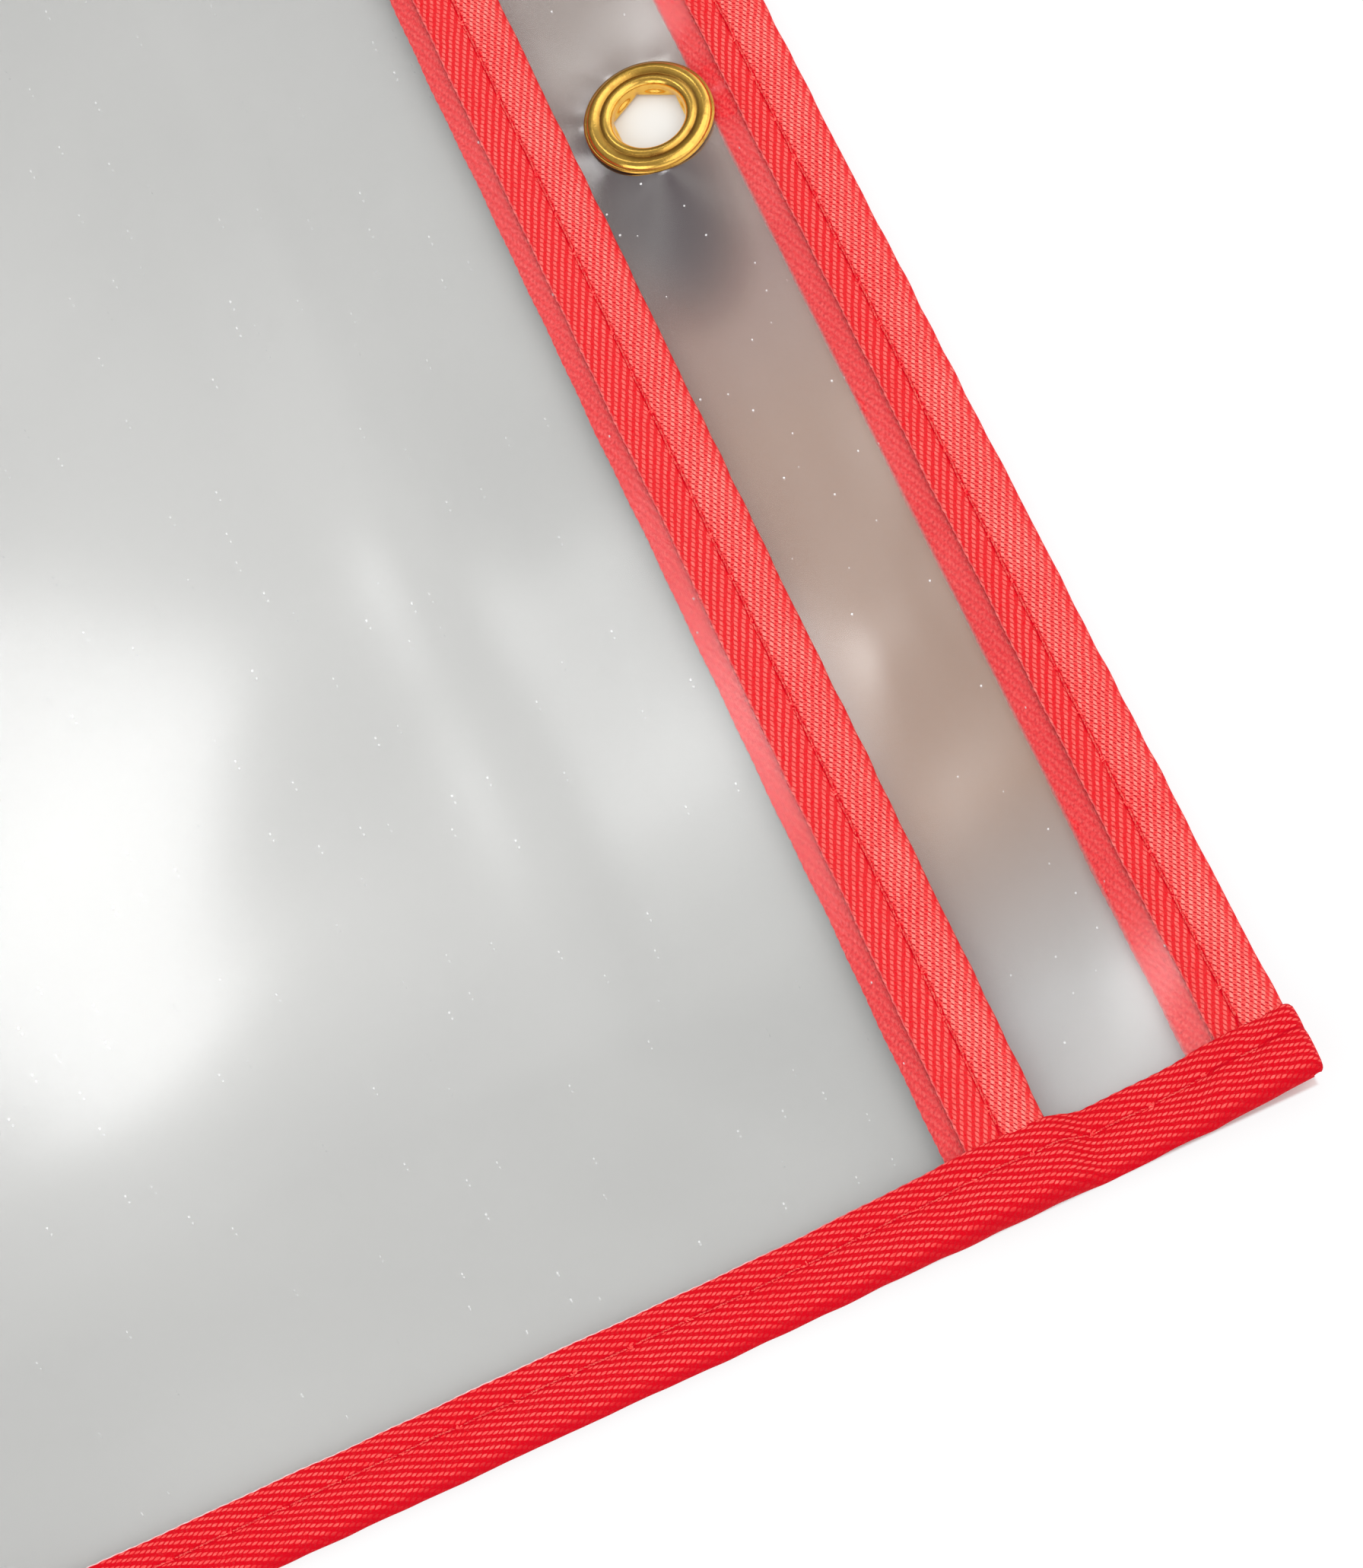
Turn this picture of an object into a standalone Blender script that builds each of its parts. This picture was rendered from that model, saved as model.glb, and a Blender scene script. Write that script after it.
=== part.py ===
"""Dry erase sleeve: a clear pocket with a header strip, bound and sewn in folded tape, hung by an eyelet.

The sleeve lies on its back. X runs across it, Y runs up to its top edge and +Z is its front face.
The origin is the middle of the rectangle that it covers, on the surface that it lies on.
Run with: blender --background --python part.py
"""

import math

import bmesh
import bpy

mm = 0.001

# Overall outline, over the folded tapes
SLEEVE_WIDTH = 254.0 * mm
SLEEVE_HEIGHT = 355.6 * mm

# Sheet goods, and the slack between one layer and the next
FILM_THICKNESS = 0.20 * mm
TAPE_THICKNESS = 0.35 * mm
LAYER_GAP = 0.20 * mm

# Folded tape on the sides, on the top and bottom ends and on the mouth: how far its two legs reach in
# from the folded edge, and how deep the fold's curve is
SIDE_FRONT_LEG = 7.7 * mm
SIDE_BACK_LEG = 7.5 * mm
END_FRONT_LEG = 7.05 * mm
END_BACK_LEG = 9.8 * mm
MOUTH_FRONT_LEG = 7.8 * mm
MOUTH_BACK_LEG = 9.9 * mm
FOLD_DEPTH = 1.2 * mm
FOLD_STEPS = 8

# Clear strip between the top tape and the pocket's mouth
HEADER_GAP = 16.7 * mm

# Seams: their distance from the folded edge, and how the stitches pinch the tape
SIDE_SEAM_INSET = 4.8 * mm
END_SEAM_INSET = 4.3 * mm
MOUTH_SEAM_INSET = 4.2 * mm
PINCH_HALF_WIDTH = 0.55 * mm
PINCH_DEPTH = 0.06 * mm
THREAD_DIAMETER = 0.20 * mm

# Lengths over which a film or a tape climbs on to what lies under it
TAPE_RAMP = 2.4 * mm
FILM_RAMP = 14.0 * mm
RAMP_STEPS = 4

# Side tapes: their ends are turned over the corners and sewn down on the back
TUCK_FRONT = 3.0 * mm
TUCK_BACK = 10.5 * mm
TUCK_SIDE_INSET = 0.25 * mm
TUCK_OUTER_INSET = 0.75 * mm
TUCK_BITE = 0.05 * mm

# Eyelet: radii and heights of the metal's middle line
EYELET_METAL = 0.32 * mm
EYELET_LIP_RADIUS = 6.60 * mm
EYELET_LIP_WIDTH = 0.35 * mm
EYELET_RING_RADIUS = 5.60 * mm
EYELET_RING_RISE = 0.50 * mm
EYELET_GROOVE_RADIUS = 4.90 * mm
EYELET_GROOVE_RISE = 0.28 * mm
EYELET_ROLL_RADIUS = 0.52 * mm
EYELET_BORE_RADIUS = 3.85 * mm
EYELET_CURL_RADIUS = 0.42 * mm
EYELET_CURL_REACH = 1.15 * mm
EYELET_HEX_ACROSS_FLATS = 6.95 * mm
EYELET_HEX_LIP = 0.30 * mm
PETALS = 6
PETAL_SLOT_WIDTH = 0.45 * mm
EYELET_TURNS = 48
ARC_STEPS = 6

# Cutters run this far past what they cut
CUT_OVERRUN = 1.0 * mm

THREAD_SIDES_RESOLUTION = 2
MERGE_DISTANCE = 0.001 * mm

FINISHES = {
    "film": dict(colour=(0.80, 0.81, 0.80, 1.0), roughness=0.12, metallic=0.0, alpha=0.35),
    "tape": dict(colour=(0.80, 0.02, 0.04, 1.0), roughness=0.75, metallic=0.0, alpha=1.0),
    "thread": dict(colour=(0.62, 0.01, 0.03, 1.0), roughness=0.55, metallic=0.0, alpha=1.0),
    "brass": dict(colour=(0.87, 0.58, 0.16, 1.0), roughness=0.20, metallic=1.0, alpha=1.0),
}

# Layers from the table up, each level a height of the sleeve's flat parts
TUCK_MIDDLE = TAPE_THICKNESS / 2
CROSSED_BACK = TAPE_THICKNESS - TUCK_BITE
LAYER_STEP = TAPE_THICKNESS + LAYER_GAP
BACK_TAPE_UNDERSIDE = CROSSED_BACK + LAYER_STEP
BACK_FILM_UNDERSIDE = BACK_TAPE_UNDERSIDE + LAYER_STEP
BACK_FILM_TOP = BACK_FILM_UNDERSIDE + FILM_THICKNESS
MOUTH_GAPE = THREAD_DIAMETER + 2 * LAYER_GAP
MOUTH_TAPE_UNDERSIDE = BACK_FILM_TOP + MOUTH_GAPE
MOUTH_FILM_UNDERSIDE = MOUTH_TAPE_UNDERSIDE + LAYER_STEP
MOUTH_FRONT_UNDERSIDE = MOUTH_FILM_UNDERSIDE + FILM_THICKNESS + LAYER_GAP
POCKET_FILM_UNDERSIDE = BACK_FILM_TOP + LAYER_GAP
POCKET_FRONT_UNDERSIDE = POCKET_FILM_UNDERSIDE + FILM_THICKNESS + LAYER_GAP
HEADER_FRONT_UNDERSIDE = BACK_FILM_TOP + LAYER_GAP

# Places across and along the sleeve
HALF_WIDTH = SLEEVE_WIDTH / 2
HALF_HEIGHT = SLEEVE_HEIGHT / 2
TOP_FOLD_Y = HALF_HEIGHT - LAYER_STEP
BOTTOM_FOLD_Y = -TOP_FOLD_Y
MOUTH_FOLD_Y = TOP_FOLD_Y - END_FRONT_LEG - HEADER_GAP
EYELET_Y = TOP_FOLD_Y - END_FRONT_LEG - HEADER_GAP / 2
END_TAPE_Y = TOP_FOLD_Y - END_BACK_LEG - LAYER_GAP
INNER_HALF_WIDTH = HALF_WIDTH - FOLD_DEPTH
SEAM_HALF_RUN = HALF_WIDTH - max(SIDE_FRONT_LEG, SIDE_BACK_LEG) - LAYER_GAP


def clear_scene():
    """Remove every object that the file holds."""
    for thing in list(bpy.data.objects):
        bpy.data.objects.remove(thing, do_unlink=True)


def new_collection(name):
    """A collection of this name, linked to the scene."""
    collection = bpy.data.collections.new(name)
    bpy.context.scene.collection.children.link(collection)
    return collection


def finish_material(name, finish):
    """A Principled material for one piece."""
    values = FINISHES[finish]
    material = bpy.data.materials.new(name)
    material.use_nodes = True
    shader = material.node_tree.nodes["Principled BSDF"]
    shader.inputs["Base Color"].default_value = values["colour"]
    shader.inputs["Roughness"].default_value = values["roughness"]
    shader.inputs["Metallic"].default_value = values["metallic"]
    shader.inputs["Alpha"].default_value = values["alpha"]
    material.diffuse_color = values["colour"]
    return material


def add_object(name, mesh, collection, finish=None):
    """Put a mesh in the scene under this name, with a material of its own."""
    thing = bpy.data.objects.new(name, mesh)
    collection.objects.link(thing)
    if finish:
        mesh.materials.append(finish_material(name, finish))
    return thing


def hide_cutter(thing):
    """Mark an object as a cutter, which the render leaves out."""
    thing.hide_render = True
    thing.display_type = "WIRE"


def boolean(target, other, operation):
    """Cut, or join, one object with another."""
    modifier = target.modifiers.new(operation.title(), "BOOLEAN")
    modifier.operation = operation
    modifier.object = other
    hide_cutter(other)


def solidify(thing, thickness):
    """Thicken an open surface evenly to both sides."""
    modifier = thing.modifiers.new("Thickness", "SOLIDIFY")
    modifier.thickness = thickness
    modifier.offset = 0.0
    modifier.use_even_offset = True


def round_shaded(mesh, degrees=35):
    """Smooth shading with sharp creases past an angle."""
    mesh.shade_smooth()
    mesh.set_sharp_from_angle(angle=math.radians(degrees))


def surface(name, rows, columns, place):
    """An open grid of rows by columns points, each put where place(row, column) says."""
    mesh = bpy.data.meshes.new(name)
    grid = bmesh.new()
    bmesh.ops.create_grid(grid, x_segments=columns - 1, y_segments=rows - 1, size=1.0)
    grid.verts.ensure_lookup_table()
    for index, vertex in enumerate(grid.verts):
        vertex.co = place(index // columns, index % columns)
    bmesh.ops.recalc_face_normals(grid, faces=grid.faces)
    grid.to_mesh(mesh)
    grid.free()
    return mesh


def eased(share):
    """Smooth step from 0 to 1."""
    return share * share * (3 - 2 * share)


def level_at(y, stations):
    """Height at y of a profile that eases from one (y, height) station to the next, downwards in y."""
    if y >= stations[0][0]:
        return stations[0][1]
    for (upper_y, upper_z), (lower_y, lower_z) in zip(stations, stations[1:]):
        if y >= lower_y:
            share = (upper_y - y) / (upper_y - lower_y)
            return upper_z + (lower_z - upper_z) * eased(share)
    return stations[-1][1]


def rows_of(*profiles):
    """The y of every row that the profiles need: each station, and steps along each ramp."""
    rows = set()
    for stations in profiles:
        for (upper_y, upper_z), (lower_y, lower_z) in zip(stations, stations[1:]):
            steps = RAMP_STEPS if upper_z != lower_z else 1
            for step in range(steps + 1):
                rows.add(round(upper_y + (lower_y - upper_y) * step / steps, 9))
    return sorted(rows, reverse=True)


def fold_section(front_leg, back_leg, seam_inset, front_z, back_z):
    """Middle line of a folded tape as (inset from the fold, height) points, front leg first."""
    legs = [
        (front_leg, 0),
        (seam_inset + PINCH_HALF_WIDTH, 0),
        (seam_inset, PINCH_DEPTH),
        (seam_inset - PINCH_HALF_WIDTH, 0),
        (FOLD_DEPTH, 0),
    ]
    points = [(inset, front_z - pinch) for inset, pinch in legs]
    middle_z = (front_z + back_z) / 2
    half_z = (front_z - back_z) / 2
    reach = FOLD_DEPTH - TAPE_THICKNESS / 2
    for step in range(1, FOLD_STEPS):
        angle = math.pi * step / FOLD_STEPS
        points.append((FOLD_DEPTH - reach * math.sin(angle), middle_z + half_z * math.cos(angle)))
    legs[0] = (back_leg, 0)
    points += [(inset, back_z + pinch) for inset, pinch in reversed(legs)]
    return points


def crosswise_tape(name, fold_y, inward, legs, seam_inset, undersides, collection):
    """A tape folded over an edge that runs along X. inward is -1 where the sleeve lies below the fold."""
    front_z, back_z = (under + TAPE_THICKNESS / 2 for under in undersides)
    section = fold_section(*legs, seam_inset, front_z, back_z)
    ends = (-INNER_HALF_WIDTH, INNER_HALF_WIDTH)

    def place(row, column):
        inset, z = section[column]
        return (ends[row], fold_y + inward * inset, z)

    tape = add_object(name, surface(name, len(ends), len(section), place), collection, "tape")
    solidify(tape, TAPE_THICKNESS)
    round_shaded(tape.data)
    return tape


def side_profiles():
    """Undersides of a side tape's front and back legs along its length, from the top edge down."""
    front_drop = MOUTH_BACK_LEG + LAYER_GAP
    mouth_over = MOUTH_FRONT_UNDERSIDE + LAYER_STEP
    mouth_upper = MOUTH_FOLD_Y + LAYER_GAP
    mouth_lower = MOUTH_FOLD_Y - front_drop
    film_lower = mouth_lower - FILM_RAMP
    front = [
        (HALF_HEIGHT, HEADER_FRONT_UNDERSIDE + LAYER_STEP),
        (END_TAPE_Y, HEADER_FRONT_UNDERSIDE + LAYER_STEP),
        (END_TAPE_Y - TAPE_RAMP, HEADER_FRONT_UNDERSIDE),
        (mouth_upper + TAPE_RAMP, HEADER_FRONT_UNDERSIDE),
        (mouth_upper, mouth_over),
        (MOUTH_FOLD_Y - MOUTH_FRONT_LEG - LAYER_GAP, mouth_over),
        (mouth_lower - TAPE_RAMP, MOUTH_FRONT_UNDERSIDE),
        (film_lower - TAPE_RAMP, POCKET_FRONT_UNDERSIDE),
        (-END_TAPE_Y + TAPE_RAMP, POCKET_FRONT_UNDERSIDE),
        (-END_TAPE_Y, POCKET_FRONT_UNDERSIDE + LAYER_STEP),
        (-HALF_HEIGHT, POCKET_FRONT_UNDERSIDE + LAYER_STEP),
    ]
    back = [
        (HALF_HEIGHT, CROSSED_BACK),
        (END_TAPE_Y, CROSSED_BACK),
        (END_TAPE_Y - TAPE_RAMP, BACK_TAPE_UNDERSIDE),
        (-END_TAPE_Y + TAPE_RAMP, BACK_TAPE_UNDERSIDE),
        (-END_TAPE_Y, CROSSED_BACK),
        (-HALF_HEIGHT, CROSSED_BACK),
    ]
    return front, back


def tucked_end(name, side, end, front_underside, guides):
    """The end of a side tape, turned over a corner on to the sleeve's back, to be joined to the tape."""
    front_z = front_underside + TAPE_THICKNESS / 2 - TUCK_BITE
    middle_z = (front_z + TUCK_MIDDLE) / 2
    half_z = (front_z - TUCK_MIDDLE) / 2
    reach = FOLD_DEPTH - TAPE_THICKNESS / 2
    section = [(TUCK_FRONT, front_z)]
    for step in range(FOLD_STEPS + 1):
        angle = math.pi * step / FOLD_STEPS
        section.append((FOLD_DEPTH - reach * math.sin(angle), middle_z + half_z * math.cos(angle)))
    section.append((TUCK_BACK, TUCK_MIDDLE))
    edges = (HALF_WIDTH - SIDE_FRONT_LEG + TUCK_SIDE_INSET, HALF_WIDTH - TUCK_OUTER_INSET)

    def place(row, column):
        inset, z = section[column]
        return (side * edges[row], end * (HALF_HEIGHT - inset), z)

    tuck = add_object(name, surface(name, len(edges), len(section), place), guides)
    solidify(tuck, TAPE_THICKNESS)
    return tuck


def side_tape(name, side, collection, guides):
    """A side tape: folded over the films and the other tapes' ends, with both its ends turned over."""
    front, back = side_profiles()
    inner_end = HALF_HEIGHT - FOLD_DEPTH / 2
    rows = [y for y in rows_of(front, back) if abs(y) < inner_end]
    rows = [inner_end] + rows + [-inner_end]
    half_tape = TAPE_THICKNESS / 2
    sections = [
        fold_section(
            SIDE_FRONT_LEG,
            SIDE_BACK_LEG,
            SIDE_SEAM_INSET,
            level_at(y, front) + half_tape,
            level_at(y, back) + half_tape,
        )
        for y in rows
    ]

    def place(row, column):
        inset, z = sections[row][column]
        return (side * (HALF_WIDTH - inset), rows[row], z)

    mesh = surface(name, len(rows), len(sections[0]), place)
    tape = add_object(name, mesh, collection, "tape")
    solidify(tape, TAPE_THICKNESS)
    boolean(tape, tucked_end(name + "_top_tuck", side, 1, front[0][1], guides), "UNION")
    boolean(tape, tucked_end(name + "_bottom_tuck", side, -1, front[-1][1], guides), "UNION")
    round_shaded(tape.data)
    return tape


def thread(name, points, collection):
    """A sewing thread through the points, as a closed tube."""
    curve = bpy.data.curves.new(name, "CURVE")
    curve.dimensions = "3D"
    curve.bevel_depth = THREAD_DIAMETER / 2
    curve.bevel_resolution = THREAD_SIDES_RESOLUTION
    curve.use_fill_caps = True
    spline = curve.splines.new("POLY")
    spline.points.add(len(points) - 1)
    for point, place in zip(spline.points, points):
        point.co = (*place, 1.0)
    strand = bpy.data.objects.new(name, curve)
    collection.objects.link(strand)
    curve.materials.append(finish_material(name, "thread"))
    return strand


def crosswise_threads(edge, seam_y, undersides, collection):
    """The needle thread on the front of a crosswise seam, and the bobbin thread on its back."""
    lift = LAYER_GAP + THREAD_DIAMETER / 2 - PINCH_DEPTH
    front_z = undersides[0] + TAPE_THICKNESS + lift
    back_z = undersides[1] - lift
    for kind, z in (("needle_thread", front_z), ("bobbin_thread", back_z)):
        ends = [(-SEAM_HALF_RUN, seam_y, z), (SEAM_HALF_RUN, seam_y, z)]
        thread(f"{edge}_{kind}", ends, collection)


def side_threads(edge, side, collection):
    """The needle and bobbin threads of a side seam, which follow the tape over what it crosses."""
    front, back = side_profiles()
    lift = LAYER_GAP + THREAD_DIAMETER / 2 - PINCH_DEPTH
    x = side * (HALF_WIDTH - SIDE_SEAM_INSET)
    front_run = HALF_HEIGHT - TUCK_FRONT
    back_run = END_TAPE_Y - TAPE_RAMP
    runs = {
        "needle_thread": (front, front_run, TAPE_THICKNESS + lift),
        "bobbin_thread": (back, back_run, -lift),
    }
    for kind, (profile, run, rise) in runs.items():
        rows = [run] + [y for y in rows_of(profile) if abs(y) < run] + [-run]
        points = [(x, y, level_at(y, profile) + rise) for y in rows]
        thread(f"{edge}_{kind}", points, collection)


def box(name, low, high, collection, finish=None):
    """A box between two corners."""
    mesh = bpy.data.meshes.new(name)
    cube = bmesh.new()
    bmesh.ops.create_cube(cube, size=1.0)
    for vertex in cube.verts:
        vertex.co = [lo + (hi - lo) * (share + 0.5) for lo, hi, share in zip(low, high, vertex.co)]
    cube.to_mesh(mesh)
    cube.free()
    return add_object(name, mesh, collection, finish)


def prism(name, radius, low_z, high_z, sides, collection):
    """An upright prism, or a cylinder with many sides, round the eyelet's centre."""
    bpy.ops.mesh.primitive_cylinder_add(
        vertices=sides,
        radius=radius,
        depth=high_z - low_z,
        location=(0, EYELET_Y, (low_z + high_z) / 2),
    )
    thing = bpy.context.object
    thing.name = name
    for held in list(thing.users_collection):
        held.objects.unlink(thing)
    collection.objects.link(thing)
    return thing


def back_sheet(collection, guides):
    """The full back film, pierced for the eyelet."""
    low = (-INNER_HALF_WIDTH, BOTTOM_FOLD_Y + FOLD_DEPTH, BACK_FILM_UNDERSIDE)
    high = (INNER_HALF_WIDTH, TOP_FOLD_Y - FOLD_DEPTH, BACK_FILM_TOP)
    sheet = box("back_sheet", low, high, collection, "film")
    hole_radius = EYELET_BORE_RADIUS + EYELET_METAL / 2 + LAYER_GAP
    hole = prism(
        "eyelet_hole",
        hole_radius,
        BACK_FILM_UNDERSIDE - CUT_OVERRUN,
        BACK_FILM_TOP + CUT_OVERRUN,
        EYELET_TURNS,
        guides,
    )
    boolean(sheet, hole, "DIFFERENCE")
    return sheet


def front_sheet(collection):
    """The pocket's front film, which rises at its upper edge over the mouth tape's back leg."""
    upper = MOUTH_FOLD_Y - FOLD_DEPTH
    lower = BOTTOM_FOLD_Y + FOLD_DEPTH
    ramp_top = MOUTH_FOLD_Y - MOUTH_BACK_LEG - LAYER_GAP
    profile = [
        (upper, MOUTH_FILM_UNDERSIDE),
        (ramp_top, MOUTH_FILM_UNDERSIDE),
        (ramp_top - FILM_RAMP, POCKET_FILM_UNDERSIDE),
        (lower, POCKET_FILM_UNDERSIDE),
    ]
    rows = rows_of(profile)
    ends = (-INNER_HALF_WIDTH, INNER_HALF_WIDTH)

    def place(row, column):
        return (ends[column], rows[row], level_at(rows[row], profile) + FILM_THICKNESS / 2)

    sheet = add_object("front_sheet", surface("front_sheet", len(rows), 2, place), collection, "film")
    solidify(sheet, FILM_THICKNESS)
    return sheet


def arc(centre, radius, start, stop):
    """Points on an arc in the section's plane, its angles in degrees."""
    points = []
    for step in range(ARC_STEPS + 1):
        angle = math.radians(start + (stop - start) * step / ARC_STEPS)
        points.append((centre[0] + radius * math.cos(angle), centre[1] + radius * math.sin(angle)))
    return points


def eyelet_section():
    """Middle line of the eyelet's metal as (radius, height) points, from its lip to its curled tail."""
    seat_z = BACK_FILM_TOP + LAYER_GAP + EYELET_METAL / 2
    ring_z = seat_z + EYELET_RING_RISE
    roll_centre = (EYELET_BORE_RADIUS + EYELET_ROLL_RADIUS, ring_z - EYELET_ROLL_RADIUS)
    tail_z = BACK_FILM_UNDERSIDE - LAYER_GAP - EYELET_METAL / 2
    curl_centre = (EYELET_BORE_RADIUS + EYELET_CURL_RADIUS, tail_z)
    lip_inner = EYELET_LIP_RADIUS - EYELET_LIP_WIDTH
    ring_span = lip_inner - EYELET_RING_RADIUS
    points = [(EYELET_LIP_RADIUS, seat_z)]
    for step in range(ARC_STEPS + 1):
        angle = math.pi / 2 * step / ARC_STEPS
        radius = lip_inner - ring_span * (1 - math.cos(angle))
        points.append((radius, seat_z + EYELET_RING_RISE * math.sin(angle)))
    points.append((EYELET_GROOVE_RADIUS, seat_z + EYELET_GROOVE_RISE))
    points += arc(roll_centre, EYELET_ROLL_RADIUS, 60, 180)
    points += arc(curl_centre, EYELET_CURL_RADIUS, 180, 270)
    points.append((EYELET_BORE_RADIUS + EYELET_CURL_REACH, tail_z - EYELET_CURL_RADIUS))
    return points


def hexagonal_lip(low_z, guides):
    """The inward edge of the eyelet's barrel, a thin ring round a hexagonal opening."""
    high_z = low_z + EYELET_HEX_LIP
    lip = prism("bore_lip", EYELET_BORE_RADIUS, low_z, high_z, EYELET_TURNS, guides)
    corner_radius = EYELET_HEX_ACROSS_FLATS / 2 / math.cos(math.pi / PETALS)
    opening = prism(
        "bore_opening",
        corner_radius,
        low_z - CUT_OVERRUN,
        high_z + CUT_OVERRUN,
        PETALS,
        guides,
    )
    boolean(lip, opening, "DIFFERENCE")
    return lip


def eyelet(collection, guides):
    """The brass eyelet: a turned flange, rolled into a barrel that is split and curled out behind."""
    section = eyelet_section()
    mesh = bpy.data.meshes.new("eyelet")
    profile = bmesh.new()
    verts = [profile.verts.new((radius, 0, z)) for radius, z in section]
    for first, second in zip(verts, verts[1:]):
        profile.edges.new((first, second))
    profile.to_mesh(mesh)
    profile.free()
    thing = add_object("eyelet", mesh, collection, "brass")
    thing.location = (0, EYELET_Y, 0)
    turn = thing.modifiers.new("Turn", "SCREW")
    turn.angle = math.tau
    turn.steps = EYELET_TURNS
    turn.render_steps = EYELET_TURNS
    turn.use_merge_vertices = True
    turn.merge_threshold = MERGE_DISTANCE
    turn.use_smooth_shade = True
    solidify(thing, EYELET_METAL)

    tail_low = section[-1][1] - EYELET_METAL
    curl_top = BACK_FILM_UNDERSIDE - LAYER_GAP
    boolean(thing, hexagonal_lip(section[-1][1], guides), "UNION")
    reach = EYELET_BORE_RADIUS + EYELET_CURL_REACH + CUT_OVERRUN
    slot_start = EYELET_BORE_RADIUS + EYELET_CURL_RADIUS
    for petal in range(PETALS):
        slot = box(
            f"petal_slot_{petal + 1}",
            (slot_start, -PETAL_SLOT_WIDTH / 2, tail_low),
            (reach, PETAL_SLOT_WIDTH / 2, curl_top),
            guides,
        )
        slot.location = (0, EYELET_Y, 0)
        slot.rotation_euler = (0, 0, math.tau * petal / PETALS)
        boolean(thing, slot, "DIFFERENCE")
    return thing


def main():
    """Build every piece of the sleeve."""
    clear_scene()
    sleeve = new_collection("dry_erase_sleeve")
    guides = new_collection("cutters")

    back_sheet(sleeve, guides)
    front_sheet(sleeve)

    end_legs = (END_FRONT_LEG, END_BACK_LEG)
    mouth_legs = (MOUTH_FRONT_LEG, MOUTH_BACK_LEG)
    top_levels = (HEADER_FRONT_UNDERSIDE, BACK_TAPE_UNDERSIDE)
    mouth_levels = (MOUTH_FRONT_UNDERSIDE, MOUTH_TAPE_UNDERSIDE)
    bottom_levels = (POCKET_FRONT_UNDERSIDE, BACK_TAPE_UNDERSIDE)
    crosswise_tape("top_binding", TOP_FOLD_Y, -1, end_legs, END_SEAM_INSET, top_levels, sleeve)
    crosswise_tape("mouth_binding", MOUTH_FOLD_Y, -1, mouth_legs, MOUTH_SEAM_INSET, mouth_levels, sleeve)
    crosswise_tape("bottom_binding", BOTTOM_FOLD_Y, 1, end_legs, END_SEAM_INSET, bottom_levels, sleeve)
    crosswise_threads("top", TOP_FOLD_Y - END_SEAM_INSET, top_levels, sleeve)
    crosswise_threads("mouth", MOUTH_FOLD_Y - MOUTH_SEAM_INSET, mouth_levels, sleeve)
    crosswise_threads("bottom", BOTTOM_FOLD_Y + END_SEAM_INSET, bottom_levels, sleeve)

    for edge, side in (("left", -1), ("right", 1)):
        side_tape(f"{edge}_binding", side, sleeve, guides)
        side_threads(edge, side, sleeve)

    eyelet(sleeve, guides)


main()
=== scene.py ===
"""Looks of the dry erase sleeve: clear films bound in folded twill tape, lockstitched seams, a brass eyelet.

Lengths in the classes are millimetres in the part's own frame: X across, Y up to the top edge, +Z the front.
"""

from __future__ import annotations

import logging
import math
from dataclasses import dataclass, replace
from enum import Enum
from typing import Any, Callable, Sequence

import bpy
import numpy as np
from mathutils import Matrix, Vector


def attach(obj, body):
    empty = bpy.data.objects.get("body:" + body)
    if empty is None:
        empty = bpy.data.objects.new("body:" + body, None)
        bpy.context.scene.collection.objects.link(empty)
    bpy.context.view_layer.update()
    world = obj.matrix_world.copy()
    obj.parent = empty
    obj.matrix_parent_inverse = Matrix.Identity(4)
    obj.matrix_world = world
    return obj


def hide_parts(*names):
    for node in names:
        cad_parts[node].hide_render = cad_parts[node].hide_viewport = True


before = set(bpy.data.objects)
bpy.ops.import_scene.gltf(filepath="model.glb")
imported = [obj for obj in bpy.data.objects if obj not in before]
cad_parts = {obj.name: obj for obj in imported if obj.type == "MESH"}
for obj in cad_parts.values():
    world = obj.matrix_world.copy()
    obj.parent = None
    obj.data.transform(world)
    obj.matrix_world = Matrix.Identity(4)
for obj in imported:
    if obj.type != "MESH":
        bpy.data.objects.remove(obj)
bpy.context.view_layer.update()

MM = 0.001
BODY = "root"
CLOTH_MAP = "cloth"
KNOT_MARK = "knot"
HALF_WIDTH = 127.0
HALF_HEIGHT = 177.8
EYELET_CENTRE = (0.0, 161.85)
WHITE = (1.0, 1.0, 1.0, 1.0)
NO_TURN = 1e-9
LOG = logging.getLogger("sleeve")

Array = np.ndarray
Colour = tuple[float, float, float, float]
Pair = tuple[float, float]
Place = tuple[float, float, float]
Wave = tuple[float, float, float, float, float]


class Edge(Enum):
    """Edges of the sleeve that a tape binds."""

    TOP = "top"
    MOUTH = "mouth"
    BOTTOM = "bottom"
    LEFT = "left"
    RIGHT = "right"


class Face(Enum):
    """Faces of a seam: the needle thread lies on the front, the bobbin thread behind."""

    FRONT = "needle"
    BACK = "bobbin"


def eased(share: Array | float) -> Array:
    """Smooth step from 0 to 1."""
    share = np.clip(share, 0.0, 1.0)
    return share * share * (3 - 2 * share)


def hump(distance: Array, width: float) -> Array:
    """A bell of height 1 round distance 0."""
    return np.exp(-((distance / width) ** 2))


def wobble(place: Array, lengths: Sequence[float], seed: int) -> Array:
    """A smooth uneven line, about -1 to 1.

    Args:
        place: where along the line.
        lengths: wavelengths of the sines in it.
        seed: picks the sines' phases.

    Returns:
        The line's height at each place.
    """
    phases = np.random.default_rng(seed).uniform(0, math.tau, len(lengths))
    waves = [np.sin(math.tau * place / length + phase) for length, phase in zip(lengths, phases)]
    return sum(waves) / len(lengths) ** 0.5


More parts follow.
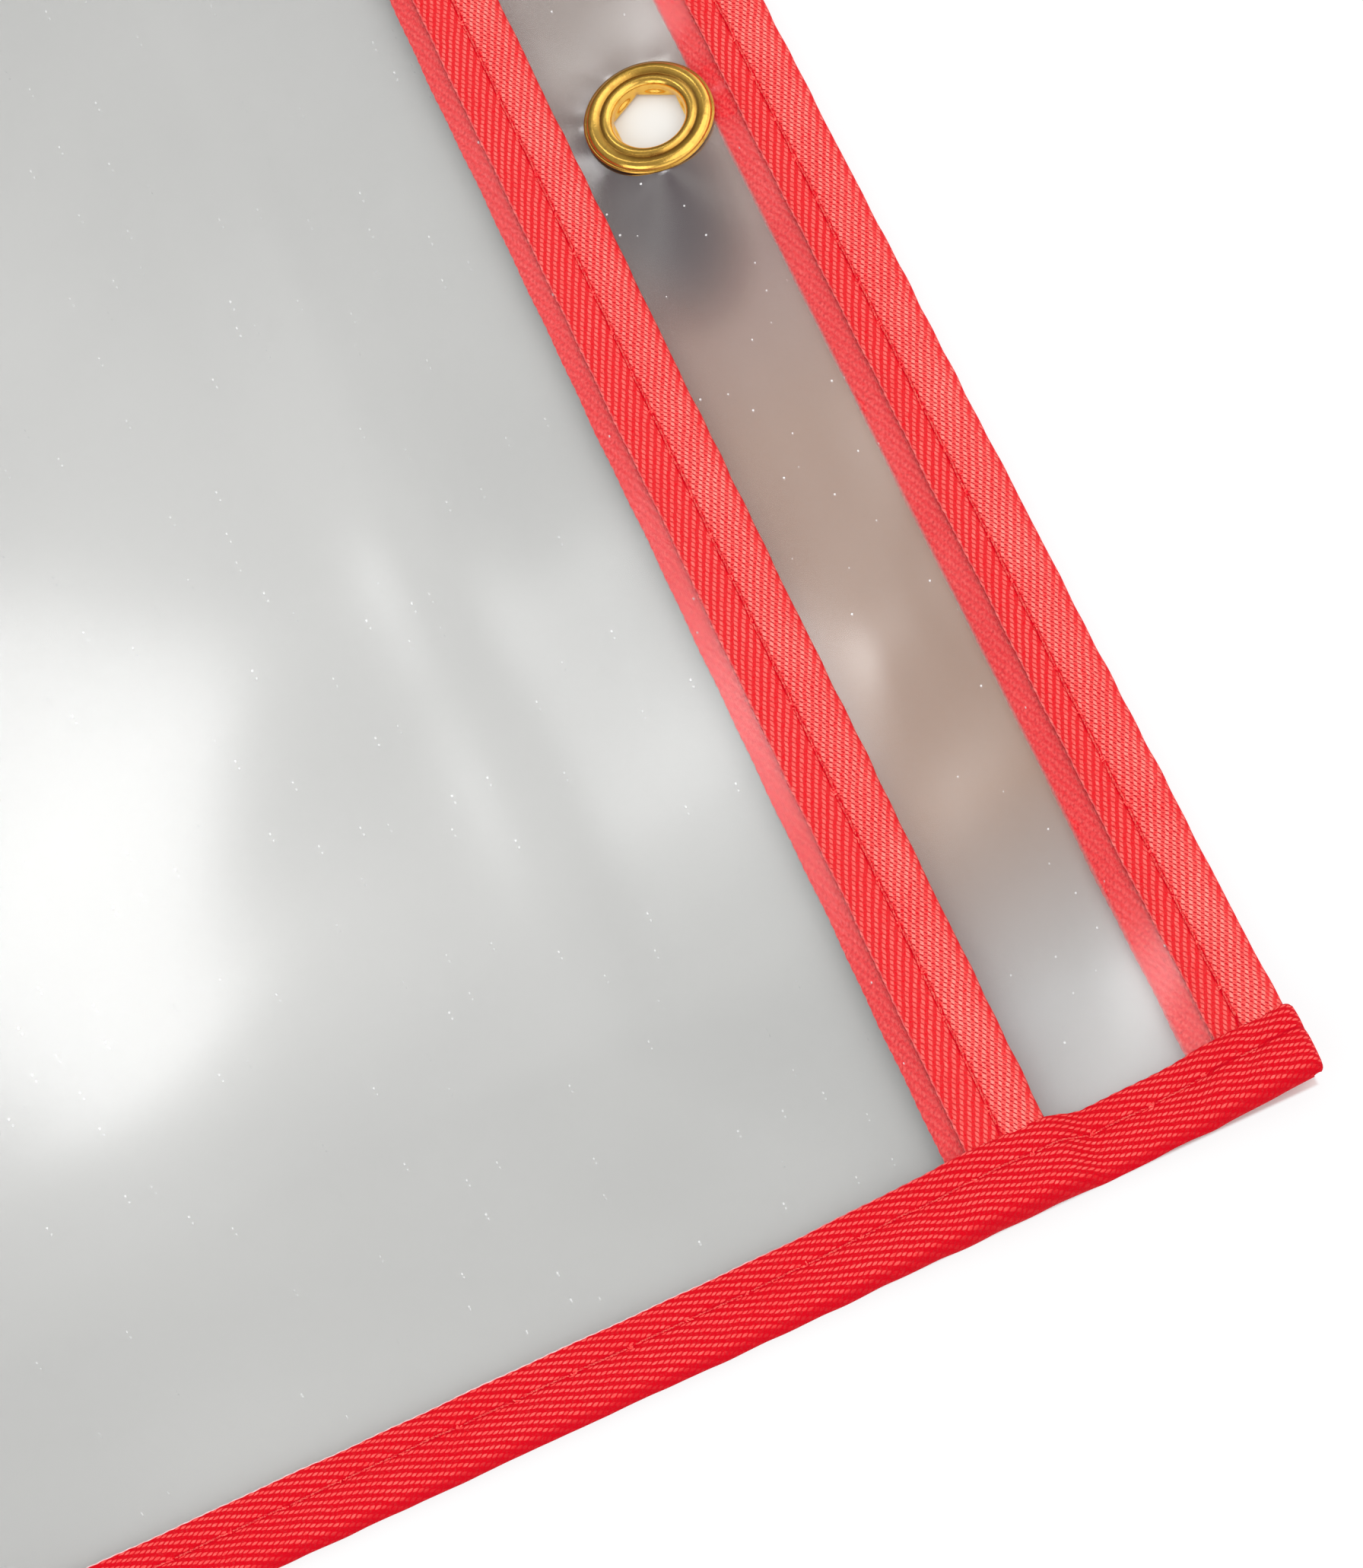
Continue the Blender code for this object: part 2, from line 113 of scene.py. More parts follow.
def ripples(x: Array, y: Array, waves: Sequence[Wave]) -> Array:
    """Sum at (x, y) of waves, each given as height, shares of x and y, length and phase."""
    return sum(
        height * np.sin((x * of_x + y * of_y) * math.tau / length + phase)
        for height, of_x, of_y, length, phase in waves
    )


def level_at(place: Array, stations: Sequence[Pair]) -> Array:
    """Height along a profile that eases from one (place, height) station to the next."""
    level = np.full_like(place, stations[0][1])
    for (start, low), (stop, high) in zip(stations, stations[1:]):
        level = np.where(place >= start, low + (high - low) * eased((place - start) / (stop - start)), level)
    return level


def through(operation: str, last: bool = False) -> Callable[..., Value]:
    """A method that puts a value and other terms through one Math node.

    Args:
        operation: what the node does.
        last: whether the value comes after the other terms.

    Returns:
        The method.
    """

    def method(value: Value, *others: Value | float) -> Value:
        """Result of the node."""
        terms = (*others, value) if last else (value, *others)
        return value.graph.node("ShaderNodeMath", dict(enumerate(terms)), operation=operation)

    return method


class Value:
    """A node's output, on which Python's operators build Math nodes."""

    def __init__(self, graph: Graph, socket: bpy.types.NodeSocket) -> None:
        """Wrap a socket of a graph."""
        self.graph = graph
        self.socket = socket

    __add__ = __radd__ = through("ADD")
    __sub__ = through("SUBTRACT")
    __rsub__ = through("SUBTRACT", last=True)
    __mul__ = __rmul__ = through("MULTIPLY")
    __truediv__ = through("DIVIDE")
    __pow__ = through("POWER")
    __abs__ = through("ABSOLUTE")
    floor = through("FLOOR")
    fraction = through("FRACT")
    at_least = through("MAXIMUM")
    at_most = through("MINIMUM")

    def share(self) -> Value:
        """This value kept from 0 to 1."""
        return self.at_least(0.0).at_most(1.0)

    def between(self, low: float, high: float) -> Value:
        """Smooth step from 0 at low to 1 at high."""
        sockets = {"Value": self, "From Min": low, "From Max": high}
        return self.graph.node("ShaderNodeMapRange", sockets, interpolation_type="SMOOTHSTEP")

    def output(self, name: str) -> Value:
        """Another output of the same node."""
        return Value(self.graph, self.socket.node.outputs[name])

    def parts(self) -> list[Value]:
        """The X, Y and Z of a vector."""
        first = self.graph.node("ShaderNodeSeparateXYZ", {0: self})
        return [first.output(axis) for axis in "XYZ"]


class Graph:
    """The nodes of one material, world or geometry group."""

    def __init__(self, tree: bpy.types.NodeTree) -> None:
        """Start from an empty tree."""
        self.tree = tree
        tree.nodes.clear()

    def node(
        self, kind: str, sockets: dict[str | int, Any] | None = None, out: str | int = 0, **settings: Any
    ) -> Value | None:
        """Add a node.

        Args:
            kind: the node's type.
            sockets: values or links of its inputs, by name or number. A list holds the links of one input.
            out: the output to hand back.
            settings: the node's properties, which are set first.

        Returns:
            The output, or None if the node has none.
        """
        node = self.tree.nodes.new(kind)
        for name, value in settings.items():
            setattr(node, name, value)
        for name, given in (sockets or {}).items():
            for value in given if isinstance(given, list) else [given]:
                if isinstance(value, Value):
                    self.tree.links.new(value.socket, node.inputs[name])
                else:
                    node.inputs[name].default_value = value
        return Value(self, node.outputs[out]) if node.outputs else None

    def place(self, kind: str = "Object") -> Value:
        """Coordinates of the point that is shaded."""
        return self.node("ShaderNodeTexCoord", out=kind)

    def blend(self, share: Value | float, first: Any, second: Any) -> Value:
        """Colour that goes from the first to the second as share goes from 0 to 1."""
        return self.node("ShaderNodeMix", {0: share, 6: first, 7: second}, 2, data_type="RGBA")

    def noise(self, place: Value, scale: float, detail: float = 2.0, **sockets: float) -> Value:
        """Noise of a scale at a place."""
        sockets = {"Vector": place, "Scale": scale, "Detail": detail, **sockets}
        return self.node("ShaderNodeTexNoise", sockets)

    def stretched(self, place: Value, scale: Place, turn: float = 0.0) -> Value:
        """A place turned back about Z and then scaled along each axis, where a scale of 0 flattens."""
        sizes = tuple(1 / share if share else 0.0 for share in scale)
        sockets = {"Vector": place, "Rotation": (0, 0, turn), "Scale": sizes}
        return self.node("ShaderNodeMapping", sockets, vector_type="TEXTURE")

    def bump(self, strength: float, distance: float, height: Value) -> Value:
        """Normal of a bump, with its distance in millimetres."""
        sockets = {"Strength": strength, "Distance": distance * MM, "Height": height}
        return self.node("ShaderNodeBump", sockets)

    def seen(self) -> Value:
        """1 on rays from the camera, a mirror or clear film, and 0 on the others."""
        path = self.node("ShaderNodeLightPath")
        kinds = ("Is Camera Ray", "Is Glossy Ray", "Is Transmission Ray")
        return sum(path.output(kind) for kind in kinds).at_most(1.0)


@dataclass(frozen=True)
class Finish:
    """A material that draws itself."""

    def make(self, name: str) -> bpy.types.Material:
        """The material under this name."""
        material = bpy.data.materials.new(name)
        material.use_nodes = True
        graph = Graph(material.node_tree)
        graph.node("ShaderNodeOutputMaterial", {"Surface": self.paint(graph)})
        return material

    def paint(self, graph: Graph) -> Value:
        """Draw the surface in an empty graph, and hand back its shader."""
        raise NotImplementedError


@dataclass(frozen=True)
class TwillFinish(Finish):
    """Red polyester twill tape: floats of warp yarn in steep ribs, with painted sheen where they would face
    the light.

    The cloth map holds millimetres: U across the tape from its front selvedge, V along it.
    """

    yarn_width: float = 0.195
    pick_length: float = 0.4575
    rib_repeat: int = 4
    brick: Pair = (0.195, 0.18)
    brick_lean: float = 0.3
    brick_edge: Pair = (0.35, 1.65)
    gap_line: Pair = (0.587, 0.81)
    gap_length: float = 0.19
    gap_edge: Pair = (0.025, 0.095)
    # Strength of the painted shadow in the gaps.
    gap_shadow_strength: float = 0.75
    # Colour of the painted sheen, where floats would face the light.
    painted_sheen: Colour = (1.0, 0.30, 0.25, 1.0)
    red: Colour = (0.87, 0.003, 0.012, 1.0)
    # A brighter red, painted on the covered strip to make up for the shade of the film and the front hem.
    covered_lit_red: Colour = (0.88, 0.006, 0.016, 1.0)
    # A darker copy of the red, painted as shade between the floats.
    shaded_valley: Colour = (0.66, 0.0, 0.008, 1.0)
    # Colour of the painted shadow in the gaps.
    gap_shadow: Colour = (0.46, 0.0, 0.010, 1.0)
    # Colour of the painted shade in the seam's groove.
    groove_shade_red: Colour = (0.50, 0.0, 0.010, 1.0)
    # Colour of the painted highlight along the hem; the next fields set its strength, width and fade towards
    # the ends.
    hem: Colour = (1.0, 0.85, 0.84, 1.0)
    hem_glow: float = 0.12
    hem_edge: Pair = (0.06, 0.20)
    hem_fade: Pair = (110.0, 150.0)
    # Scale of the patches where the painted sheen is stronger or weaker.
    sheen_patch_scale: float = 0.13
    uneven_scale: float = 1.9
    rough_scale: float = 3.2
    sway_scales: Pair = (0.9, 0.7)
    sways: Pair = (0.16, 0.42)
    fold_shade: float = 0.0
    fibre_scale: Place = (9.0, 3.0, 1.0)
    fibre_turn: float = -0.627
    covered: float = 30.0
    seam: float = 2.75
    crown_stop: float = 7.1
    # Strengths of the painted sheen: over the crown, away from the crown, and on the floats.
    crown_sheen: float = 0.85
    sheen_off_crown: float = 0.08
    float_glow: float = 0.34
    groove_edge: Pair = (0.08, 0.38)
    # Strength of the painted shade in the seam's groove.
    groove_shade_strength: float = 0.8
    # How much painted shade the cloth between the floats takes.
    valley_shade_share: float = 0.6

    def crest_offsets(self, across: Value, along: Value) -> tuple[Value, Value]:
        """How far a point lies from the nearest float's crest.

        Args:
            across: U of the point.
            along: V of the point.

        Returns:
            The offsets along U and V.
        """
        repeat = self.pick_length * self.rib_repeat
        step = math.hypot(self.yarn_width, self.pick_length)
        sine, cosine = self.yarn_width / step, self.pick_length / step
        u, v = across - self.yarn_width / 2, along - repeat / 2
        past_rib = u * cosine + v * sine
        rib = (past_rib / (repeat * sine) + 0.5).floor()
        past_rib = past_rib - rib * (repeat * sine)
        on_rib = v * cosine - u * sine - rib * (repeat * cosine)
        on_line, off_line = self.gap_line
        slope = (off_line * cosine - on_line * sine) / (on_line * cosine + off_line * sine)
        on_rib = on_rib - ((on_rib - past_rib * slope) / step + 0.5).floor() * step
        return past_rib * cosine - on_rib * sine, on_rib * cosine + past_rib * sine

    def float_share(self, across: Value, along: Value, ragged: Value) -> Value:
        """Floats of the twill as slanted bricks in ribs.

        Args:
            across: U of the point.
            along: V of the point.
            ragged: what makes their outlines uneven.

        Returns:
            1 on a float and 0 off it.
        """
        off_across, off_along = self.crest_offsets(across, along)
        step = math.hypot(self.yarn_width, self.pick_length)
        past_end = off_across * self.gap_line[1] - off_along * self.gap_line[0]
        past_rib = off_across * (self.pick_length / step) + off_along * (self.yarn_width / step)
        past_rib = past_rib + past_end * self.brick_lean
        square = (abs(past_end) / self.brick[0]) ** 3.0 + (abs(past_rib) / self.brick[1]) ** 3.0
        return 1 - (square + ragged).between(*self.brick_edge)

    def gap(self, across: Value, along: Value, ragged: Value) -> Value:
        """Painted shadow in the slanted gaps between the floats.

        Args:
            across: U of the point, moved so that the gaps fall between floats.
            along: V of the point, moved likewise.
            ragged: what makes their outlines uneven.

        Returns:
            1 in a gap and 0 outside.
        """
        off_across, off_along = self.crest_offsets(across, along)
        thick = abs(off_across * self.gap_line[1] - off_along * self.gap_line[0]) + ragged
        length = abs(off_across * self.gap_line[0] + off_along * self.gap_line[1]) + ragged * 2
        reach = length.between(self.gap_length * 0.7, self.gap_length * 1.3)
        return (1 - thick.between(*self.gap_edge)) * (1 - reach)

    def paint(self, graph: Graph) -> Value:
        """Draw the tape's weave, with painted sheen on its floats and crown, painted shadow in its gaps,
        painted shade between its floats, in the seam's groove and near the fold, and a painted highlight
        along the hem; hand back its shader.
        """
        cloth = graph.node("ShaderNodeUVMap", uv_map=CLOTH_MAP)
        u, v, _ = cloth.parts()
        # Noise that makes the painted sheen stronger or weaker in patches.
        sheen_patches = graph.noise(cloth, self.sheen_patch_scale, 1.0)
        fuzz = graph.noise(graph.stretched(cloth, self.fibre_scale, self.fibre_turn), 1.0)
        uneven = graph.noise(cloth, self.uneven_scale, 1.0) - 0.5
        across, along = (
            axis + (graph.noise(cloth, scale, 1.0) - 0.5) * sway
            for axis, scale, sway in zip((u, v), self.sway_scales, self.sways)
        )
        # The strip under the film: painted a brighter red, with a little painted sheen and less painted
        # shadow, against the film's shade; noise gives it its texture.
        covered = u.between(self.covered, self.covered + 0.5)
        rough = covered * (graph.noise(cloth, self.rough_scale) - 0.5)
        # The crown between the seam and the fold: painted sheen over it, as if this slope faced the light,
        # and more painted shadow in its gaps.
        crown = u.between(self.seam + 0.05, self.seam + 0.5)
        crown = crown * (1 - u.between(self.crown_stop - 1.4, self.crown_stop)) * self.crown_sheen
        # Painted shade along the seam's groove, which also gets less painted sheen.
        groove = 1 - abs(u - self.seam - 0.05).between(*self.groove_edge)
        # Painted highlight along the hem, fading towards the tape's ends.
        edge = (1 - u.between(*self.hem_edge)) * (0.7 + uneven)
        edge = edge * (1 - abs(v).between(*self.hem_fade)) * self.hem_glow
        # Painted shade near the fold, where fewer floats are drawn as well.
        fold = u.between(self.crown_stop - 1.1, self.crown_stop - 0.3) * (1 - covered) * self.fold_shade

        dash = self.float_share(across, along, (fuzz - 0.5) * 2.2 + uneven) * (1 - fold)
        ragged = (fuzz - 0.5) * 0.05 + uneven * 0.03
        half_yarn, half_pick = self.yarn_width / 2, self.pick_length / 2
        # Painted shadow in the gaps between floats and between ribs.
        gap = self.gap(across + half_yarn, along - half_pick, ragged) * (dash * 1.6 + crown).at_most(1.0)
        between_ribs = self.gap(across + half_yarn * (1 + self.rib_repeat), along - half_pick, ragged)

        # Share of the painted sheen: on the floats, over the crown and a little elsewhere, varied by fibre
        # noise and by the covered strip's texture, and less in the seam's groove.
        painted_sheen = dash * (0.6 + sheen_patches * 0.8 + uneven * 2.0) * self.float_glow * (1 - covered * 0.6)
        painted_sheen = painted_sheen + (1 - crown) * (1 - covered) * self.sheen_off_crown + covered * 0.05
        painted_sheen = painted_sheen + crown * (0.16 + 0.36 * sheen_patches + 0.10 * dash)
        painted_sheen = painted_sheen + (fuzz - 0.5) * (0.45 + crown * 1.1) + rough * 0.5 - groove * 0.3
        # Share of the painted shadow: in the gaps, between ribs on the crown and near the fold, less on the
        # covered strip; fibre noise and the covered strip's texture vary it.
        shade = (gap * (self.gap_shadow_strength + crown * 0.3) + between_ribs * crown) * (0.5 + fuzz)
        shade = shade + (1 - dash - crown * 0.6).at_least(0.0) * (fuzz - 0.40) * 1.3 + fold * 0.35
        shade = shade * (1 - covered * 0.5) - rough * 1.6
        # Painted shade: between the floats the red goes towards its darker copy.
        colour = graph.blend((self.valley_shade_share - dash - crown).at_least(0.0), self.red, self.shaded_valley)
        colour = graph.blend(covered, colour, self.covered_lit_red)
        colour = graph.blend(painted_sheen.share(), colour, self.painted_sheen)
        colour = graph.blend(shade.share(), colour, self.gap_shadow)
        colour = graph.blend(groove * self.groove_shade_strength * (0.7 + uneven), colour, self.groove_shade_red)
        colour = graph.blend(edge.at_least(0.0), colour, self.hem)

        yarn = across / self.yarn_width
        number = yarn.floor()
        side = abs(yarn - number - 0.5) * 2
        phase = (along / (self.pick_length * self.rib_repeat) + number / self.rib_repeat).fraction()
        ribs = (1 - (abs(phase - 0.5) * 2) ** 4.0) * 0.50 + dash * 0.35
        height = (1 - side ** 2.0) * 0.26 + ribs * (1 - crown * 0.65) + fuzz * 0.35 + rough - gap * 0.2
        sockets = {
            "Base Color": colour,
            "Roughness": 0.52 + fuzz * 0.25,
            "Specular IOR Level": 0.06,
            "Normal": graph.bump(0.6, 0.11, height),
        }
        return graph.node("ShaderNodeBsdfPrincipled", sockets)


@dataclass(frozen=True)
class ThreadFinish(Finish):
    """Red polyester sewing thread, glossier and paler than the tape."""

    colour: Colour = (1.0, 0.17, 0.13, 1.0)
    dark: Colour = (0.85, 0.015, 0.03, 1.0)
    fibre_scale: float = 5200.0

    def paint(self, graph: Graph) -> Value:
        """Draw the thread's fibres, and hand back its shader."""
        fibre = graph.noise(graph.place(), self.fibre_scale)
        sockets = {
            "Base Color": graph.blend(fibre.between(0.35, 0.7), self.dark, self.colour),
            "Roughness": 0.45 + fibre * 0.2,
            "Specular IOR Level": 0.25,
            "Normal": graph.bump(0.2, 0.02, fibre),
        }
        return graph.node("ShaderNodeBsdfPrincipled", sockets)


@dataclass(frozen=True)
class FilmFinish(Finish):
    """Clear soft plastic film: nearly see-through, milky, with a mirror share, dust and smudges, and painted
    shade on its header strip.
    """

    milk: Colour = (0.50, 0.515, 0.495, 1.0)
    cover: float = 0.030
    header: Pair = (153.0, 167.75)
    header_ramp: float = 0.5
    header_span: float = 250.0
    mirror: float = 0.04
    # Painted shade across the header strip: a darker warm brown over most of it, greyer and clearer towards
    # the corner at +X.
    header_shade_stops: tuple[tuple[float, Colour], ...] = (
        (0.46, (0.420, 0.330, 0.290, 0.42)),
        (0.58, (0.400, 0.230, 0.190, 0.48)),
        (0.66, (0.500, 0.300, 0.210, 0.48)),
        (0.84, (0.490, 0.290, 0.190, 0.46)),
        (0.93, (0.340, 0.320, 0.330, 0.20)),
    )
    # Painted shadow: a soft dark spot on the header strip beside the eyelet.
    shade: Colour = (0.030, 0.008, 0.014, 1.0)
    shade_centre: Pair = (9.0, 158.5)
    shade_reach: Pair = (19.0, 9.5)
    shade_cover: float = 0.46
    dust_cells: float = 240.0
    dust_size: float = 0.022
    dust_rarity: float = 0.60
    dust_cover: float = 0.55
    smudge_scale: float = 34.0
    swirl_scale: float = 15.0
    swirl_stretch: Place = (1.0, 0.5, 0.0)
    line_stretch: Place = (48.0, 8.0, 0.0)
    wrinkle_turn: float = 0.35

    def dust(self, graph: Graph, place: Value) -> Value:
        """1 on round specks of dust, in a few of a scattered pattern's cells, and 0 off them."""
        sockets = {"Vector": place, "Scale": self.dust_cells, "Randomness": 1.0}
        cell = graph.node("ShaderNodeTexVoronoi", sockets, voronoi_dimensions="2D")
        chance, spread, _ = cell.output("Color").parts()
        distance = cell.output("Distance") / (0.4 + spread)
        speck = 1 - distance.between(self.dust_size * 0.5, self.dust_size)
        return speck * chance.between(self.dust_rarity, self.dust_rarity + 0.02)

    def header_shading(self, graph: Graph, share: Value) -> tuple[Value, Value]:
        """Colour and cover of the painted shade on the header strip, at a share of the way across."""
        colour = graph.node("ShaderNodeValToRGB", {0: share})
        elements = colour.socket.node.color_ramp.elements
        for _ in self.header_shade_stops[2:]:
            elements.new(0.5)
        for element, (place, header_shading) in zip(elements, self.header_shade_stops):
            element.position = place
            element.color = header_shading
        return colour, colour.output("Alpha")

    def paint(self, graph: Graph) -> Value:
        """Draw the film's milk, the painted shade on its header strip and beside the eyelet, dust and
        wrinkles, and hand back its shader.
        """
        place = graph.place()
        x, y, _ = place.parts()
        low, high = self.header
        header = y.between(low * MM, (low + self.header_ramp) * MM)
        header = header * (1 - y.between((high - self.header_ramp) * MM, high * MM))
        header_shading, header_shading_cover = self.header_shading(graph, x / (self.header_span * MM) + 0.5)
        smudge = graph.noise(place, self.smudge_scale, 1.0)
        dust = self.dust(graph, place)
        # Painted shadow beside the eyelet.
        off = [
            ((axis - centre * MM) / (reach * MM)) ** 2.0
            for axis, centre, reach in zip((x, y), self.shade_centre, self.shade_reach)
        ]
        shade = header * (1 - (off[0] + off[1]).between(0.0, 1.0))
        cover = self.cover + header * (header_shading_cover - self.cover)
        cover = cover + shade * self.shade_cover + (smudge - 0.5) * 0.03
        colour = graph.blend(shade, graph.blend(header, self.milk, header_shading), self.shade)
        colour = graph.blend((dust * 30.0).at_most(1.0), colour, WHITE)
        swirled = graph.stretched(place, self.swirl_stretch, self.wrinkle_turn)
        lined = graph.stretched(place, self.line_stretch, self.wrinkle_turn)
        swirl, lines = graph.noise(swirled, self.swirl_scale, 1.0), graph.noise(lined, 1.0, 0.0)
        normal = graph.bump(0.6, 1.2, swirl + lines.between(0.35, 0.75) * 0.04)
        sockets = {
            "Base Color": colour,
            "Roughness": 0.09 + smudge * 0.08,
            "IOR": 2.2,
            "Specular IOR Level": 1.0,
            "Alpha": (cover + dust * self.dust_cover).at_most(1.0),
            "Normal": normal,
        }
        film = graph.node("ShaderNodeBsdfPrincipled", sockets)
        mirror = graph.node("ShaderNodeBsdfAnisotropic", {"Roughness": 0.10, "Normal": normal})
        return graph.node("ShaderNodeMixShader", {0: self.mirror, 1: film, 2: mirror})


@dataclass(frozen=True)
class BrassFinish(Finish):
    """Pressed brass, bright on its rolls and browner in its grooves."""

    bright: Colour = (0.96, 0.58, 0.12, 1.0)
    brown: Colour = (0.30, 0.10, 0.015, 1.0)
    centre: Pair = EYELET_CENTRE
    groove_radius: float = 4.95
    groove_edge: Pair = (0.05, 0.45)
    groove_level: Pair = (1.6, 1.9)
    rim: Pair = (6.25, 6.5)
    stain_scale: float = 900.0
    grain_scale: float = 5200.0

    def paint(self, graph: Graph) -> Value:
        """Draw the brass with its stains, and hand back its shader."""
        place = graph.place()
        offset = (-self.centre[0] * MM, -self.centre[1] * MM, 0)
        centred = graph.node("ShaderNodeMapping", {"Vector": place, "Location": offset})
        x, y, z = centred.parts()
        radius = (x * x + y * y) ** 0.5
        groove = 1 - abs(radius - self.groove_radius * MM).between(*(edge * MM for edge in self.groove_edge))
        groove = groove * z.between(*(level * MM for level in self.groove_level))
        rim = radius.between(*(edge * MM for edge in self.rim))
        stain = graph.noise(place, self.stain_scale, 4.0)
        grain = graph.noise(graph.stretched(centred, (1.0, 1.0, 3.0)), self.grain_scale, 3.0)
        brown = (groove * 0.55 + rim * 0.45 + stain.between(0.5, 0.8) * 0.35).at_most(1.0)
        sockets = {
            "Base Color": graph.blend(brown, self.bright, self.brown),
            "Metallic": 1.0,
            "Roughness": 0.12 + stain * 0.12 + brown * 0.1,
            "Normal": graph.bump(0.18, 0.05, grain),
        }
        return graph.node("ShaderNodeBsdfPrincipled", sockets)


@dataclass(frozen=True)
class FloorFinish(Finish):
    """Pale table. Outside the sleeve it is seen white, and under the films it is painted a darker grey, as
    the shade under the sleeve.
    """

    half_width: float = 126.0
    half_height: float = 176.8
    under: Colour = (0.83, 0.83, 0.81, 1.0)
    open: Colour = (0.92, 0.92, 0.92, 1.0)
    glow: float = 0.86
    edge: float = 0.4

    def paint(self, graph: Graph) -> Value:
        """Draw the table, and hand back its shader."""
        x, y, _ = graph.place().parts()
        beyond = (abs(x) - self.half_width * MM).at_least(abs(y) - self.half_height * MM)
        outside = beyond.between(0.0, self.edge * MM)
        # Painted shade: under the sleeve the table takes a darker grey than outside it.
        colour = graph.blend(outside, self.under, self.open)
        plain = graph.node("ShaderNodeBsdfDiffuse", {"Color": colour, "Roughness": 0.6})
        white = graph.node("ShaderNodeEmission", {"Color": WHITE, "Strength": 1.0})
        sockets = {0: graph.seen() * outside * self.glow, 1: plain, 2: white}
        return graph.node("ShaderNodeMixShader", sockets)


@dataclass
class Drape:
    """How the limp sleeve lies: its corners lift a little, and its films ripple between the tapes."""

    corner_lifts: tuple[tuple[int, int, float, float], ...] = (
        (1, 1, 2.6, 36),
        (-1, 1, 1.6, 55),
        (-1, -1, 2.2, 60),
        (1, -1, 1.2, 45),
    )
    sag: float = 0.42
    front_rise: float = 0.95
    front_waves: tuple[Wave, ...] = (
        (0.060, 0.62, 0.78, 88, 0.6),
        (0.040, 0.95, -0.30, 67, 2.1),
        (0.016, 0.30, 0.95, 39, 4.0),
    )
    back_waves: tuple[Wave, ...] = ((0.070, 0.80, -0.60, 95, 1.2), (0.045, 0.20, 0.98, 52, 3.3))
    header_wave: Wave = (0.10, 1.0, 0.0, 61, 0.8)
    clear_side: float = 119
    pocket_span: Pair = (-169, 142)
    header_span: Pair = (151, 171)

    def lift(self, x: Array, y: Array) -> Array:
        """Height that the whole sleeve rises by at (x, y): it sags off its thick corners to the table."""
        rise = np.full_like(x, -self.sag)
        for side, end, height, reach in self.corner_lifts:
            away = (HALF_WIDTH - side * x) + (HALF_HEIGHT - end * y)
            rise = rise + height * np.clip(1 - away / reach, 0, None) ** 2
        return rise

    def pocket(self, x: Array, y: Array) -> Array:
        """Share of a ripple that the pocket's films show at (x, y), 0 under the tapes."""
        low, high = self.pocket_span
        return eased((self.clear_side - abs(x)) / 26) * eased((y - low) / 26) * eased((high - y) / 22)

    def header(self, x: Array, y: Array) -> Array:
        """Share of a ripple that the header strip shows at (x, y)."""
        low, high = self.header_span
        return eased((self.clear_side - abs(x)) / 18) * eased((y - low) / 8) * eased((high - y) / 8)

    def front_ripple(self, x: Array, y: Array) -> Array:
        """Rise of the pocket's front film over its flat level."""
        return self.pocket(x, y) * (self.front_rise + ripples(x, y, self.front_waves))

    def back_ripple(self, x: Array, y: Array) -> Array:
        """Rise of the back film over its flat level, in the pocket and in the header strip."""
        strip = ripples(x, y, [self.header_wave]) + 0.05 * np.sin(x * math.tau / 27 + y / 9)
        return self.pocket(x, y) * ripples(x, y, self.back_waves) + self.header(x, y) * strip

    def dimple(self, x: Array, y: Array, centre: Pair, rim: float) -> Array:
        """Puckers of the film round the eyelet's rim."""
        away = np.hypot(x - centre[0], y - centre[1])
        turn = np.arctan2(y - centre[1], x - centre[0])
        fade = np.exp(-np.clip(away - rim, 0, None) / 4.5) * eased((away - 3.5) / 3)
        return fade * (0.16 * np.cos(2 * turn + 0.3) + 0.07 * np.cos(5 * turn + 1.0))

    def lifted(self, points: Array) -> Array:
        """Points raised as the sleeve lifts there."""
        raised = points.copy()
        raised[..., 2] += self.lift(points[..., 0], points[..., 1])
        return raised


def unit(vectors: Array) -> Array:
    """Vectors brought to length 1."""
    return vectors / np.maximum(np.linalg.norm(vectors, axis=-1, keepdims=True), 1e-12)


def grid_normals(points: Array) -> Array:
    """Unit normals of a grid of points, on the side that its columns crossed with its rows give."""
    return unit(np.cross(np.gradient(points, axis=1), np.gradient(points, axis=0)))


def shown(name: str, mesh: bpy.types.Mesh, crease: float = 50.0) -> bpy.types.Object:
    """Put a mesh in the scene, smooth but for edges sharper than crease degrees."""
    mesh.shade_smooth()
    mesh.set_sharp_from_angle(angle=math.radians(crease))
    thing = bpy.data.objects.new(name, mesh)
    bpy.context.scene.collection.objects.link(thing)
    return thing


